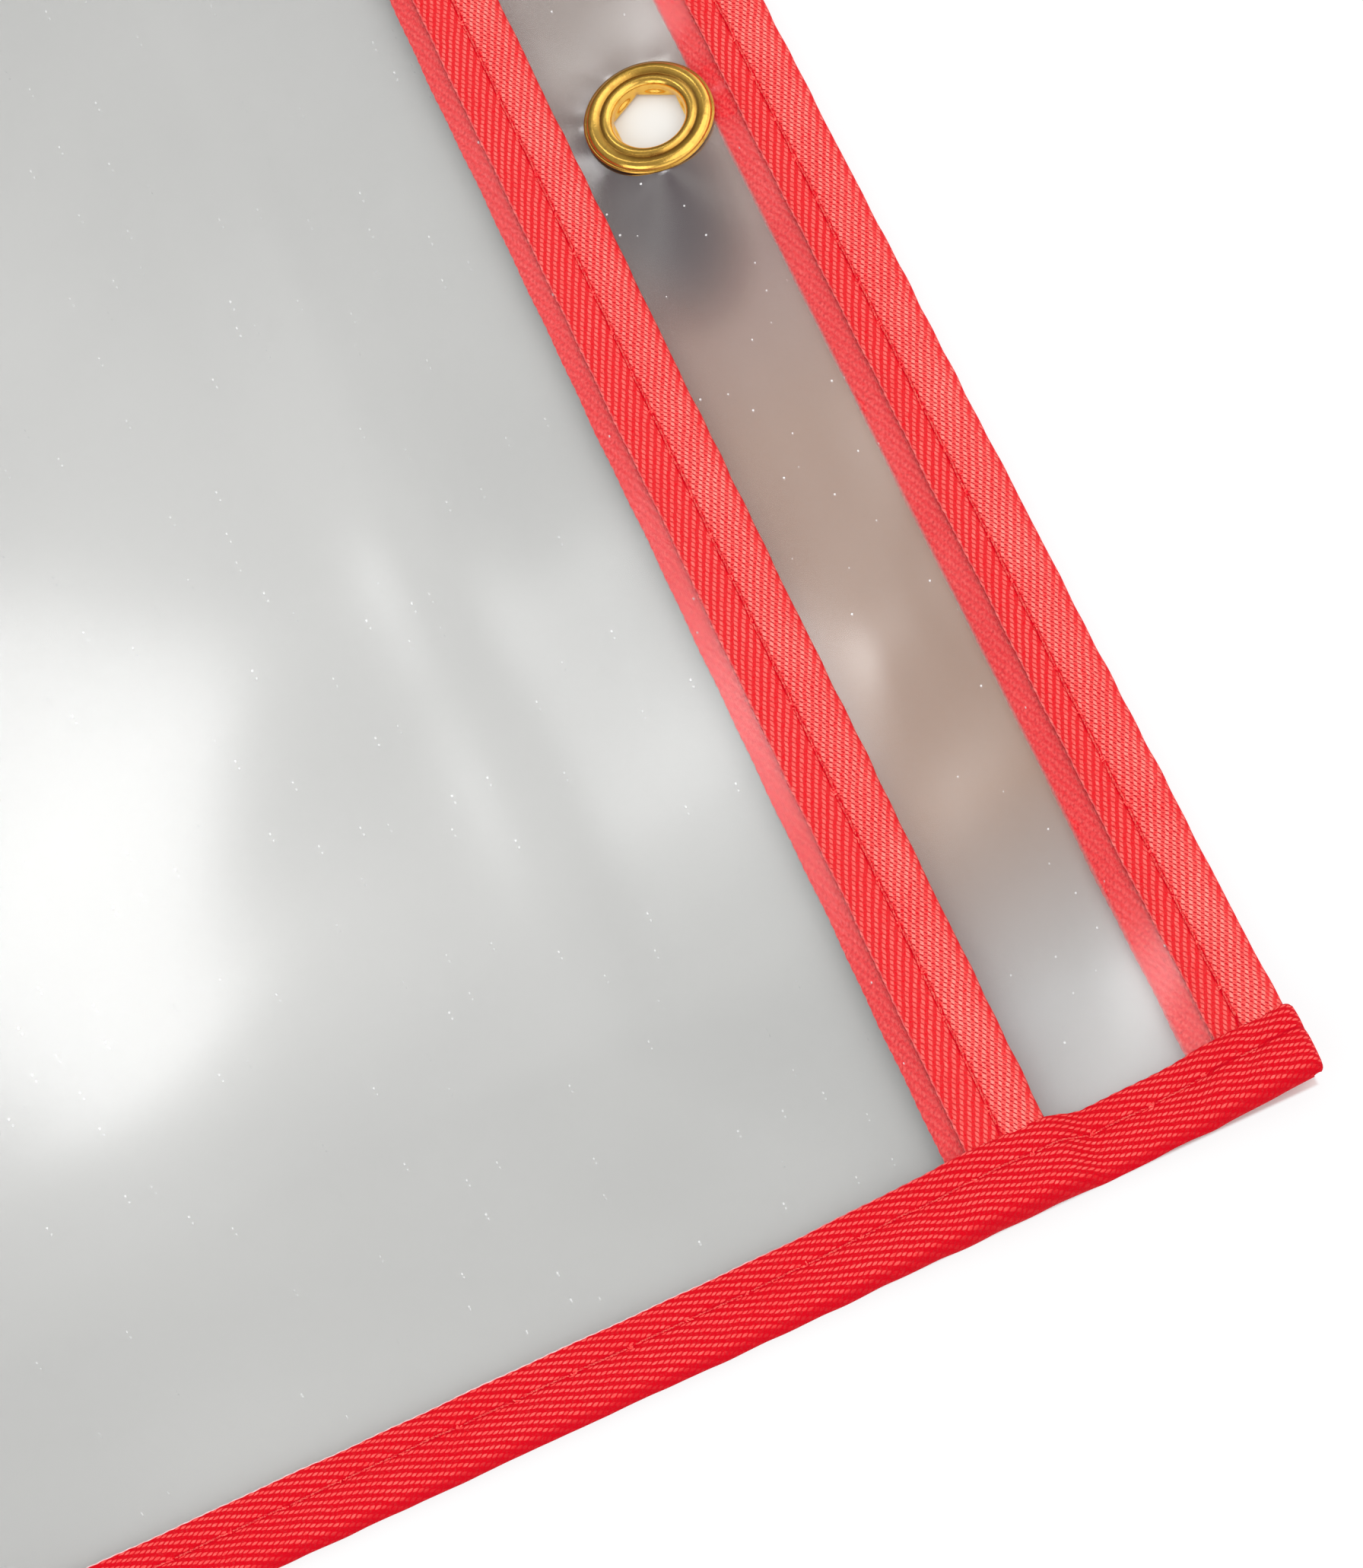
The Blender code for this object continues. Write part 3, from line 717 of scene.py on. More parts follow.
def closed_sheet(
    name: str,
    outer: Array,
    inner: Array,
    cloth: Array,
    cells: Array | None = None,
) -> bpy.types.Object:
    """A closed thin solid between two grids of points.

    Args:
        name: the object's name.
        outer: points on one face, rows by columns by 3, in millimetres.
        inner: points on the other face.
        cloth: the cloth map of each grid point, in millimetres.
        cells: which cells of the grid exist, all of them if None.

    Returns:
        The object, linked to the scene.
    """
    rows, columns = outer.shape[:2]
    if cells is None:
        cells = np.ones((rows - 1, columns - 1), bool)
    half = rows * columns
    index = np.arange(half).reshape(rows, columns)
    corners = [index[:-1, :-1], index[:-1, 1:], index[1:, 1:], index[1:, :-1]]
    a, b, c, d = (corner[cells] for corner in corners)
    faces = [np.stack([a, b, c, d], 1), np.stack([d, c, b, a], 1) + half]
    padded = np.pad(cells, 1)
    neighbours = (padded[:-2, 1:-1], padded[1:-1, 2:], padded[2:, 1:-1], padded[1:-1, :-2])
    for (first, second), neighbour in zip(((a, b), (b, c), (c, d), (d, a)), neighbours):
        rim = np.stack([second, first, first + half, second + half], 1)
        faces.append(rim[~neighbour[cells]])
    quads = np.concatenate(faces)
    used, packed = np.unique(quads, return_inverse=True)
    points = np.concatenate([outer.reshape(-1, 3), inner.reshape(-1, 3)])[used] * MM
    quads = packed.reshape(-1, 4)
    mesh = bpy.data.meshes.new(name)
    mesh.from_pydata(points.tolist(), [], quads.tolist())
    layer = mesh.uv_layers.new(name=CLOTH_MAP)
    flat = np.concatenate([cloth.reshape(-1, 2)] * 2)[used]
    layer.data.foreach_set("uv", flat[quads.reshape(-1)].reshape(-1).astype(np.float32))
    return shown(name, mesh)


def settle(piece: bpy.types.Object, material: bpy.types.Material, slot: str, *nodes: str) -> None:
    """Dress a finished piece, hang it on its body, and hide the CAD parts that it stands for."""
    piece.data.materials.clear()
    piece.data.materials.append(material)
    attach(piece, BODY)
    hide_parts(*nodes)
    LOG.info("%s: %d faces", piece.name, len(piece.data.polygons))


@dataclass
class Films:
    """The two clear films: the full back sheet and the pocket's front sheet."""

    drape: Drape
    thickness: float = 0.20
    half_width: float = 125.8
    half_height: float = 176.05
    back_level: float = 1.50
    front_level: float = 1.90
    mouth_level: float = 2.85
    mouth_y: float = 152.3
    ramp: Pair = (112.0, 143.4)
    hole_centre: Pair = EYELET_CENTRE
    hole_radius: float = 4.21
    hole_reach: float = 9.0
    hole_cells: float = 4.0
    fine_reach: int = 10
    eyelet_rim: float = 6.6
    step: float = 2.0
    no_header: Pair = (400.0, 402.0)

    def lines(self, low: float, high: float, centre: float | None = None) -> Array:
        """Grid lines from low to high, 1 mm apart near centre and a step apart elsewhere."""
        if centre is None:
            return np.linspace(low, high, int((high - low) / self.step) + 1)
        near = centre + np.arange(-self.fine_reach, self.fine_reach + 1.0)
        near = near[(near > low) & (near < high)]
        before = np.linspace(low, near[0], max(2, int((near[0] - low) / self.step) + 1))[:-1]
        after = np.linspace(near[-1], high, max(2, int((high - near[-1]) / self.step) + 1))[1:]
        return np.concatenate([before, near, after])

    def finish(self, name: str, x: Array, y: Array, z: Array, cells: Array | None = None) -> bpy.types.Object:
        """Give a film's middle surface its thickness."""
        points = self.drape.lifted(np.stack([x, y, z], 2))
        normals = grid_normals(points) * self.thickness / 2
        return closed_sheet(name, points + normals, points - normals, np.stack([x, y], 2), cells)

    def back(self) -> bpy.types.Object:
        """The back sheet, with its grid drawn to a round hole under the eyelet."""
        centre_x, centre_y = self.hole_centre
        xs = self.lines(-self.half_width, self.half_width, centre_x)
        ys = self.lines(-self.half_height, self.half_height, centre_y)
        x, y = np.meshgrid(xs, ys)
        middle_x, middle_y = np.meshgrid((xs[1:] + xs[:-1]) / 2, (ys[1:] + ys[:-1]) / 2)
        cells = np.maximum(abs(middle_x - centre_x), abs(middle_y - centre_y)) > self.hole_cells
        off_x, off_y = x - centre_x, y - centre_y
        square = np.maximum(abs(off_x), abs(off_y))
        away = np.maximum(np.hypot(off_x, off_y), 1e-6)
        share = eased((square - self.hole_cells) / (self.hole_reach - self.hole_cells))
        target = away * share + self.hole_radius * square / self.hole_cells * (1 - share)
        scale = np.where(square < self.hole_reach, target / away, 1.0)
        x, y = centre_x + off_x * scale, centre_y + off_y * scale
        z = self.back_level + self.drape.back_ripple(x, y)
        z = z + self.drape.dimple(x, y, self.hole_centre, self.eyelet_rim)
        return self.finish("clear_back_film", x, y, z, cells)

    def front(self) -> bpy.types.Object:
        """The front sheet, which climbs into the mouth's tape."""
        xs = self.lines(-self.half_width, self.half_width)
        x, y = np.meshgrid(xs, self.lines(-self.half_height, self.mouth_y))
        low, high = self.ramp
        z = self.front_level + (self.mouth_level - self.front_level) * eased((y - low) / (high - low))
        return self.finish("clear_front_film", x, y, z + self.drape.front_ripple(x, y))

    def build(self) -> None:
        """Make and dress both films, and hide the CAD sheets that they replace."""
        back = self.back()
        front = self.front()
        settle(back, FilmFinish().make("clear_back_film"), "clear_film", "back_sheet")
        # The front sheet takes no painted header shade.
        plain = FilmFinish(header=self.no_header)
        settle(front, plain.make("clear_front_film"), "clear_film", "front_sheet")


@dataclass
class Tape:
    """One length of twill tape folded over an edge.

    Its own axes are V along the run and the inset from the fold. The run crossed with the way out gives +Z.
    """

    edge: Edge
    drape: Drape
    fold: Pair
    run: Pair
    out: Pair
    half_length: float
    front: Callable[[Array], Array]
    back: Callable[[Array], Array]
    front_leg: float = 7.05
    back_leg: float = 9.8
    seam_inset: float = 4.3
    pitch: float = 5.4
    seed: int = 1
    crown: float = 0.26
    twill: TwillFinish = TwillFinish()
    thread_rise: float = 0.05
    thread_stops: Pair = (7.8, 9.2)
    corner_shift: float = 0.0
    tuck_back: float = 0.0
    thickness: float = 0.35
    fold_depth: float = 1.2
    row_step: float = 0.36
    tuck_step: float = 0.4
    arc_steps: int = 10
    scallop: float = 1.3
    tuck_level: float = 0.175
    pinch: float = 0.08
    hole_depth: float = 0.17
    pull: float = 0.06
    uneven: float = 0.05
    crease_height: float = 0.11
    back_crown: float = 0.35
    tuck_radius: float = 0.85
    tuck_draw: float = 1.4
    tuck_margin: float = 1.9
    tuck_flatten: float = 0.7
    tuck_sink: float = 0.45
    end_reach: Pair = (15, 9)
    seam_columns: tuple[float, ...] = (1.3, 0.8, 0.5, 0.28, 0.1, -0.08, -0.26, -0.46, -0.75, -1.2)
    hem_columns: tuple[float, ...] = (0.0, 0.09, 0.28, 0.6)

    def insets(self, leg: float) -> Array:
        """Insets of a leg's columns from its selvedge to where the fold starts."""
        around = [self.seam_inset + step for step in self.seam_columns]
        hem = [leg - step for step in self.hem_columns]
        first = np.linspace(hem[-1], around[0], 3)[1:-1]
        last = np.linspace(around[-1], self.fold_depth, 4)[1:]
        return np.concatenate([hem, first, around, last])

    def holes(self) -> Pair:
        """V of the first needle hole and the distance between holes."""
        return -self.half_length + 0.5 * self.pitch, self.pitch

    def needle(self, v: Array, sharpness: float) -> Array:
        """1 at each needle hole, falling to 0 between them."""
        start, pitch = self.holes()
        return hump(np.abs((v - start + pitch / 2) % pitch - pitch / 2), sharpness)

    def pad(self, inset: Array, v: Array, leg: float, crown: float, snug: bool) -> Array:
        """Rise of a leg over its flat level: padded either side of the seam, pinched along it.

        Args:
            inset: distance in from the fold's outermost line.
            v: place along the run.
            leg: inset of the leg's selvedge.
            crown: height of the pad between the seam and the fold.
            snug: whether the leg's inner part lies against the film all over.

        Returns:
            The rise at each place.
        """
        seam = self.seam_inset
        past = np.clip((seam - inset) / (seam - self.fold_depth * 0.2), 0, 1)
        outer = np.sin(np.pi * past ** 0.62) * crown * (inset < seam)
        share = np.clip((leg - inset) / (leg - seam), 0, 1)
        if snug:
            inner = -0.16 * (1 - eased((share - 0.45) / 0.5)) * (inset >= seam)
        else:
            inner = (np.sin(np.pi * share) * 0.10 - 0.17 * (1 - eased(share / 0.6))) * (inset >= seam)
        pinch = self.pinch * hump(inset - seam, 0.5)
        hole = self.hole_depth * hump(inset - seam, 0.42) * self.needle(v, 0.42)
        pull = self.pull * hump(inset - seam + 1.2, 1.2) * self.needle(v, 1.1)
        uneven = self.uneven * wobble(v + inset * 1.7, (17.0, 7.3, 29.0), self.seed)
        return outer + inner - pinch - hole - pull + uneven * (0.4 + np.clip(outer / max(crown, 0.01), 0, 1))

    def levels(self, v: Array) -> tuple[Array, Array]:
        """Middle heights of the front and back legs along the run."""
        place_y = self.fold[1] + self.run[1] * v
        return self.front(place_y), self.back(place_y)

    def pads(self, inset: Array, v: Array, snug: bool = False) -> tuple[Array, Array]:
        """Rise of the front leg and fall of the back leg, over their levels."""
        front = self.pad(inset, v, self.front_leg, self.crown, False)
        return front, self.pad(inset, v, self.back_leg, self.crown * self.back_crown, snug)

    def place(self, v: Array, inset: Array, z: Array) -> Array:
        """Points of the part's frame from V, the inset and the height, before the drape's lift."""
        x = self.fold[0] + self.run[0] * v - self.out[0] * inset
        y = self.fold[1] + self.run[1] * v - self.out[1] * inset
        return np.stack([x, y, z], -1)

    def body(self, v: Array) -> tuple[Array, Array, int]:
        """Middle surface of the folded tape.

        Args:
            v: places of the rows along the run.

        Returns:
            The points, the cloth's U of each column, and the column at the outermost point of the fold.
        """
        front, back = self.insets(self.front_leg), self.insets(self.back_leg)[::-1]
        angles = np.linspace(0, math.pi, self.arc_steps + 1)[1:-1]
        arc = self.fold_depth - (self.fold_depth - self.thickness / 2) * np.sin(angles)
        inset = np.concatenate([front, arc, back])
        turn = np.concatenate([np.zeros(len(front)), angles, np.full(len(back), math.pi)])
        row_v, row_inset = v[:, None] + np.zeros(len(inset)), inset[None, :] + np.zeros((len(v), 1))
        front_z, back_z = (level[:, None] for level in self.levels(v))
        z = (front_z + back_z) / 2 + (front_z - back_z) / 2 * np.cos(turn)[None, :]
        on_front, on_back = (turn < NO_TURN)[None, :], (turn > math.pi - NO_TURN)[None, :]
        rise, fall = self.pads(row_inset, row_v, self.back_leg > self.front_leg)
        z = z + rise * on_front
        if self.tuck_back:
            reach, fade = self.end_reach
            near_end = eased((abs(row_v) - self.half_length + reach) / fade)
            creases = wobble(row_v * 0.9 + row_inset * 0.7, (6.1, 3.7), self.seed + 11)
            crumple = near_end * self.crease_height * (1 + creases)
            z = z + crumple * eased((row_inset - 0.6) / 1.5) * on_front
        z = z - fall * on_back
        shift = self.corner_shift * eased((v - 70) / 50)[:, None]
        edge = 0.035 * np.cos(math.tau * row_v / self.scallop + self.seed * 1.7)
        edge = edge + 0.05 * wobble(row_v, (23.0, 9.1, 41.0), self.seed + 3)
        for leg, mask, sign in ((self.front_leg, on_front, -1), (self.back_leg, on_back, 1)):
            share = np.clip((row_inset - self.seam_inset) / (leg - self.seam_inset), 0, 1)
            hem = hump(leg - inset[None, :], 0.45) * mask
            row_inset = row_inset + sign * shift * share * mask + hem * edge
        line = 0.045 * wobble(v, (31.0, 12.7, 6.1), self.seed + 7) - 0.04 * self.needle(v, 1.2)
        row_inset = row_inset - line[:, None] * eased((self.seam_inset - inset) / 2.0)[None, :]
        flat = np.stack([inset, z[len(z) // 2]], 1)
        cloth_u = np.concatenate([[0], np.cumsum(np.linalg.norm(np.diff(flat, axis=0), axis=1))])
        return self.place(row_v, row_inset, z), cloth_u, len(front) + len(angles) // 2

    def tuck(self, points: Array, end: int, last: int) -> tuple[Array, Array]:
        """Rows that carry the front leg over the tape's end and back under it.

        Args:
            points: the folded tape's points.
            end: 1 for the end of the rows, -1 for their start.
            last: last column that is carried over.

        Returns:
            The rows in order away from the tape's end, and how far along the cloth each is from it.
        """
        edge = points[-1 if end > 0 else 0]
        along = np.array([*self.run, 0.0]) * end
        across = np.array([*self.out, 0.0])
        front_z = edge[0, 2]
        half, middle = (front_z - self.tuck_level) / 2, (front_z + self.tuck_level) / 2
        sink = edge[:, 2] - front_z
        inset = (np.array([*self.fold, 0.0]) - edge) @ across
        outermost = inset[last]
        width = self.front_leg - outermost
        drawn_in = self.tuck_draw + (inset - outermost) * (self.front_leg - self.tuck_margin) / width - inset
        radius = self.fold_depth * self.tuck_radius
        travel = math.pi * (half + radius) / 2 / self.arc_steps
        rows, reaches, travelled = [], [], 0.0
        for angle in np.linspace(0, math.pi, self.arc_steps + 1)[1:]:
            flatten = 1 - self.tuck_flatten * angle / math.pi
            row = edge + along * ((radius + sink * flatten * self.tuck_sink) * np.sin(angle))[:, None]
            row[:, 2] = middle + half * np.cos(angle) + sink * np.cos(angle) * flatten
            row -= across * (drawn_in * eased((angle - 1.2) / (math.pi - 1.4)))[:, None]
            travelled += travel
            rows.append(row)
            reaches.append(travelled)
        turned = rows[-1]
        for back in np.arange(self.tuck_step, self.tuck_back, self.tuck_step):
            rows.append(turned - along * back)
            reaches.append(travelled + back)
        rows = np.stack(rows)
        final = rows[:, last:last + 1]
        spare = np.arange(rows.shape[1] - last - 1)[None, :, None] + 1
        rows[:, last + 1:] = final + (final - rows[:, last - 1:last]) * spare
        return rows, np.array(reaches)

    def build(self) -> bpy.types.Object:
        """The tape as one closed solid with its cloth map."""
        v = np.linspace(-self.half_length, self.half_length, int(2 * self.half_length / self.row_step) + 1)
        raw, cloth_u, last = self.body(v)
        points = self.drape.lifted(raw)
        normals = grid_normals(points)
        hem = np.minimum(cloth_u, cloth_u[-1] - cloth_u)
        wall = self.thickness * (0.38 + 0.62 * eased(hem / 0.28))
        bare = [0, 0]
        if self.tuck_back:
            before, before_reach = self.tuck(raw, -1, last)
            after, after_reach = self.tuck(raw, 1, last)
            before, after = self.drape.lifted(before)[::-1], self.drape.lifted(after)
            before_normals = grid_normals(np.concatenate([before, points[:2]]))
            after_normals = grid_normals(np.concatenate([points[-2:], after]))
            points = np.concatenate([before, points, after])
            normals[0, :last + 1] = before_normals[-2, :last + 1]
            normals[-1, :last + 1] = after_normals[1, :last + 1]
            normals = np.concatenate([before_normals[:-2], normals, after_normals[2:]])
            v = np.concatenate([v[0] - before_reach[::-1], v, v[-1] + after_reach])
            bare = [len(before), len(after)]
        cells = np.ones((len(v) - 1, len(cloth_u) - 1), bool)
        cells[:bare[0], last:] = False
        cells[len(cells) - bare[1]:, last:] = False
        offset = normals * (wall / 2)[None, :, None]
        cloth = np.stack(np.broadcast_arrays(cloth_u[None, :], v[:, None]), 2)
        return closed_sheet(f"{self.edge.value}_tape", points + offset, points - offset, cloth, cells)

    def seam(self, face: Face, v: Array, sink: float, rise: float = 0.0) -> Array:
        """Path of a thread that runs from needle hole to needle hole.

        Args:
            face: which face of the tape it lies on.
            v: places along the run.
            sink: depth below the cloth that it reaches at a hole.
            rise: how far it stands off the cloth all along.

        Returns:
            Points of the thread at those places, in millimetres.
        """
        inset = np.full_like(v, self.seam_inset) + 0.05 * wobble(v, (11.0, 5.2), self.seed + 11)
        (front_z, back_z), (pad, fall) = self.levels(v), self.pads(inset, v)
        stand = self.thickness / 2
        dip = sink * self.needle(v, 0.34)
        if face is Face.FRONT:
            z = front_z + pad + stand + rise + 0.03 * (1 - self.needle(v, 1.4)) - dip
        else:
            z = back_z - fall - stand - rise + dip
        return self.drape.lifted(self.place(v, inset, z))


@dataclass
class ThreadMaker:
    """Geometry Nodes that turn a line into a two-ply thread with knots."""

    ply_radius: float = 0.080
    ply_offset: float = 0.055
    twist_length: float = 1.1
    sides: int = 6
    knot_size: float = 0.19
    knot_seed: int = 7
    knot_turns: tuple[Place, Place] = ((-0.5, -0.5, 0.0), (0.5, 0.5, 6.28))
    knot_scales: tuple[Place, Place] = ((1.4, 0.45, 0.4), (2.6, 0.8, 0.7))
    crease: float = 60.0

    def values(self, finish: bpy.types.Material) -> dict[str, tuple[str, Any]]:
        """Type and value of each input of the node tree."""
        return {
            "Ply Radius": ("NodeSocketFloat", self.ply_radius * MM),
            "Ply Offset": ("NodeSocketFloat", self.ply_offset * MM),
            "Twist Length": ("NodeSocketFloat", self.twist_length * MM),
            "Sides": ("NodeSocketInt", self.sides),
            "Knot Size": ("NodeSocketFloat", self.knot_size * MM),
            "Seed": ("NodeSocketInt", self.knot_seed),
            "Finish": ("NodeSocketMaterial", finish),
        }

    def tree(self, finish: bpy.types.Material) -> tuple[bpy.types.NodeTree, dict[str, Any]]:
        """The node tree, and the value of each of its inputs by the input's identifier."""
        tree = bpy.data.node_groups.new("two_ply_thread", "GeometryNodeTree")
        tree.interface.new_socket(name="Line", in_out="INPUT", socket_type="NodeSocketGeometry")
        inputs = {}
        for name, (kind, value) in self.values(finish).items():
            socket = tree.interface.new_socket(name=name, in_out="INPUT", socket_type=kind)
            inputs[socket.identifier] = value
        tree.interface.new_socket(name="Thread", in_out="OUTPUT", socket_type="NodeSocketGeometry")
        graph = Graph(tree)
        given = graph.node("NodeGroupInput")
        line = graph.node("GeometryNodeMeshToCurve", {"Mesh": given.output("Line")})
        length = graph.node("GeometryNodeSplineParameter", out="Length")
        turns = length / given.output("Twist Length") * math.tau
        tilt = graph.node("GeometryNodeSetCurveTilt", {"Curve": line, "Tilt": turns})
        sockets = {"Resolution": given.output("Sides"), "Radius": given.output("Ply Radius")}
        circle = graph.node("GeometryNodeCurvePrimitiveCircle", sockets)
        plies = []
        for side in (1, -1):
            offset = graph.node("ShaderNodeCombineXYZ", {"X": given.output("Ply Offset") * side})
            plies.append(graph.node("GeometryNodeTransform", {"Geometry": circle, "Translation": offset}))
        sockets = {"Curve": tilt, "Profile Curve": graph.node("GeometryNodeJoinGeometry", {0: plies})}
        sweep = graph.node("GeometryNodeCurveToMesh", {**sockets, "Fill Caps": True})
        whole = graph.node("GeometryNodeJoinGeometry", {0: [sweep, self.knots(graph, given)]})
        real = graph.node("GeometryNodeRealizeInstances", {0: whole})
        sockets = {"Geometry": real, "Material": given.output("Finish")}
        graph.node("NodeGroupOutput", {0: graph.node("GeometryNodeSetMaterial", sockets)})
        return tree, inputs

    def knots(self, graph: Graph, given: Value) -> Value:
        """Add the knots, as instances on the line's points that are marked as needle holes."""
        marked = graph.node("GeometryNodeInputNamedAttribute", {"Name": KNOT_MARK}, data_type="FLOAT")
        sockets = {"Mesh": given.output("Line"), "Selection": marked.output("Attribute")}
        holes = graph.node("GeometryNodeMeshToPoints", sockets)
        sockets = {"Radius": given.output("Knot Size"), "Subdivisions": 1}
        knot = graph.node("GeometryNodeMeshIcoSphere", sockets)
        chances = {}
        for name, (low, high) in (("Rotation", self.knot_turns), ("Scale", self.knot_scales)):
            sockets = {0: low, 1: high, "Seed": given.output("Seed")}
            chances[name] = graph.node("FunctionNodeRandomValue", sockets, data_type="FLOAT_VECTOR")
        return graph.node("GeometryNodeInstanceOnPoints", {"Points": holes, "Instance": knot, **chances})

    def make(
        self,
        name: str,
        path: Array,
        holes: Array,
        tree: bpy.types.NodeTree,
        inputs: dict[str, Any],
    ) -> bpy.types.Object:
        """A thread along a path, with its knots, as a plain mesh.

        Args:
            name: the piece's name.
            path: points of the thread's middle line, in millimetres.
            holes: points where a knot stands.
            tree: the node tree from tree().
            inputs: the values of its inputs.

        Returns:
            The thread's object.
        """
        line = bpy.data.meshes.new(name + "_line")
        edges = [(number, number + 1) for number in range(len(path) - 1)]
        line.from_pydata((np.concatenate([path, holes]) * MM).tolist(), edges, [])
        mark = line.attributes.new(KNOT_MARK, "FLOAT", "POINT")
        mark.data.foreach_set("value", np.repeat([0.0, 1.0], [len(path), len(holes)]).astype(np.float32))
        guide = bpy.data.objects.new(name + "_line", line)
        bpy.context.scene.collection.objects.link(guide)
        modifier = guide.modifiers.new("Thread", "NODES")
        modifier.node_group = tree
        for identifier, value in inputs.items():
            modifier[identifier] = value
        bpy.context.view_layer.update()
        result = guide.evaluated_get(bpy.context.evaluated_depsgraph_get())
        mesh = bpy.data.meshes.new_from_object(result)
        bpy.data.objects.remove(guide)
        mesh.name = name
        return shown(name, mesh, self.crease)


@dataclass
class Bindings:
    """The five tapes and their seams."""

    drape: Drape
    top_fold: float = 177.25
    mouth_fold: float = 153.5
    header_front: float = 1.80
    mouth_front: float = 3.15
    pocket_front: float = 2.20
    back_under: float = 0.85
    mouth_back: float = 2.20
    crossed_back: float = 0.32
    layer: float = 0.55
    half_tape: float = 0.175
    tufts: int = 3
    stitch_step: float = 0.22
    stitch_sink: float = 0.34
    end_short: Pair = (1.2, 1.05)
    turned_length: float = 2.5
    knot_rise: float = 0.06
    knot_spread: float = 0.32

    def side_front(self, y: Array) -> Array:
        """Middle height of a side tape's front leg along Y, over what it crosses."""
        mouth_over = self.mouth_front + self.layer
        low_mouth = self.mouth_fold - 10.1
        stations = [
            (-HALF_HEIGHT, self.pocket_front + self.layer),
            (-self.top_fold + 10.0, self.pocket_front + self.layer),
            (-self.top_fold + 12.9, self.pocket_front),
            (low_mouth - 20, self.pocket_front),
            (low_mouth - 2.4, self.mouth_front),
            (self.mouth_fold - 8.0, mouth_over),
            (self.mouth_fold - 0.3, mouth_over - 0.1),
            (self.mouth_fold + 3.4, self.header_front),
            (self.top_fold - 12.6, self.header_front),
            (self.top_fold - 8.0, self.header_front + self.layer),
            (HALF_HEIGHT, self.header_front + self.layer),
        ]
        return level_at(y, stations) + self.half_tape

    def side_back(self, y: Array) -> Array:
        """Middle height of a side tape's back leg along Y."""
        stations = [
            (-HALF_HEIGHT, self.crossed_back),
            (-self.top_fold + 10.0, self.crossed_back),
            (-self.top_fold + 12.9, self.back_under),
            (self.top_fold - 12.9, self.back_under),
            (self.top_fold - 10.0, self.crossed_back),
            (HALF_HEIGHT, self.crossed_back),
        ]
        return level_at(y, stations) + self.half_tape

    def level(self, underside: float) -> Callable[[Array], Array]:
        """Middle height of a leg that stays level."""
        return lambda y: np.full_like(y, underside + self.half_tape)

    def crossing(self, edge: Edge, fold: float, front: float, back: float, **more: Any) -> Tape:
        """A tape across the sleeve.

        Args:
            edge: the edge that it binds.
            fold: Y of its fold.
            front: height of its front leg's underside.
            back: height of its back leg's underside.
            more: what else sets it apart.

        Returns:
            The tape.
        """
        way = math.copysign(1, fold)
        lies = dict(fold=(0, fold), run=(way, 0), out=(0, way), half_length=HALF_WIDTH - self.end_short[0])
        return Tape(edge, self.drape, front=self.level(front), back=self.level(back), **lies, **more)

    def side(self, edge: Edge, way: int, seed: int) -> Tape:
        """The tape of the right edge, where way is 1, or of the left edge, where it is -1."""
        # The side tapes get a stronger painted hem highlight, painted shade near the fold, more painted shade
        # between the floats, and painted sheen only on the floats.
        shades = dict(hem_glow=1.0, fold_shade=0.8, sheen_off_crown=0.0, float_glow=0.32, valley_shade_share=1.0, crown_sheen=0.0)
        twill = TwillFinish(brick=(0.160, 0.165), **shades)
        legs = dict(front=self.side_front, back=self.side_back, front_leg=7.7, back_leg=7.5, tuck_back=9.5)
        sewn = dict(seam_inset=4.8, pitch=5.7, crown=0.20, thread_rise=0.0, thread_stops=(2.6, 9.8))
        lies = dict(fold=(way * HALF_WIDTH, 0), run=(0, -way), out=(way, 0))
        half_length = HALF_HEIGHT - self.end_short[1]
        return Tape(edge, self.drape, half_length=half_length, seed=seed, twill=twill, **lies, **legs, **sewn)

    def tapes(self) -> list[Tape]:
        """Every tape, in its place."""
        mouth = dict(seed=2, front_leg=7.8, back_leg=9.9, seam_inset=4.2, pitch=5.2)
        return [
            self.crossing(Edge.TOP, self.top_fold, self.header_front, self.back_under, corner_shift=0.1),
            self.crossing(Edge.MOUTH, self.mouth_fold, self.mouth_front, self.mouth_back, **mouth),
            self.crossing(Edge.BOTTOM, -self.top_fold, self.pocket_front, self.back_under, seed=3),
            self.side(Edge.RIGHT, 1, 4),
            self.side(Edge.LEFT, -1, 5),
        ]

    def build(self) -> None:
        """Make and dress every tape and thread, and hide the CAD parts that they replace."""
        maker = ThreadMaker()
        finish = ThreadFinish().make("red_thread")
        tree, inputs = maker.tree(finish)
        for tape in self.tapes():
            name = tape.edge.value
            piece = tape.build()
            developed = piece_width(piece)
            twill = replace(
                tape.twill,
                covered=developed - tape.back_leg + tape.front_leg - 0.3,
                seam=tape.front_leg - tape.seam_inset,
                crown_stop=tape.front_leg + 0.1,
            )
            settle(piece, twill.make(f"{name}_twill"), "red_tape", f"{name}_binding")
            first, pitch = tape.holes()
            for face, short in zip(Face, tape.thread_stops):
                stop = tape.half_length - short
                stitches = np.arange(-stop, stop, self.stitch_step)
                path = tape.seam(face, stitches, self.stitch_sink, tape.thread_rise)
                spots = np.arange(first, tape.half_length, pitch)
                spots = np.repeat(spots[abs(spots) < stop - 0.5], self.tufts)
                chance = np.random.default_rng(tape.seed)
                spots = spots + chance.uniform(-self.knot_spread, self.knot_spread, len(spots))
                holes = tape.seam(face, spots, -self.knot_rise)
                strand = maker.make(f"{name}_{face.value}_stitches", path, holes, tree, inputs)
                settle(strand, finish, "red_thread", f"{name}_{face.value}_thread")


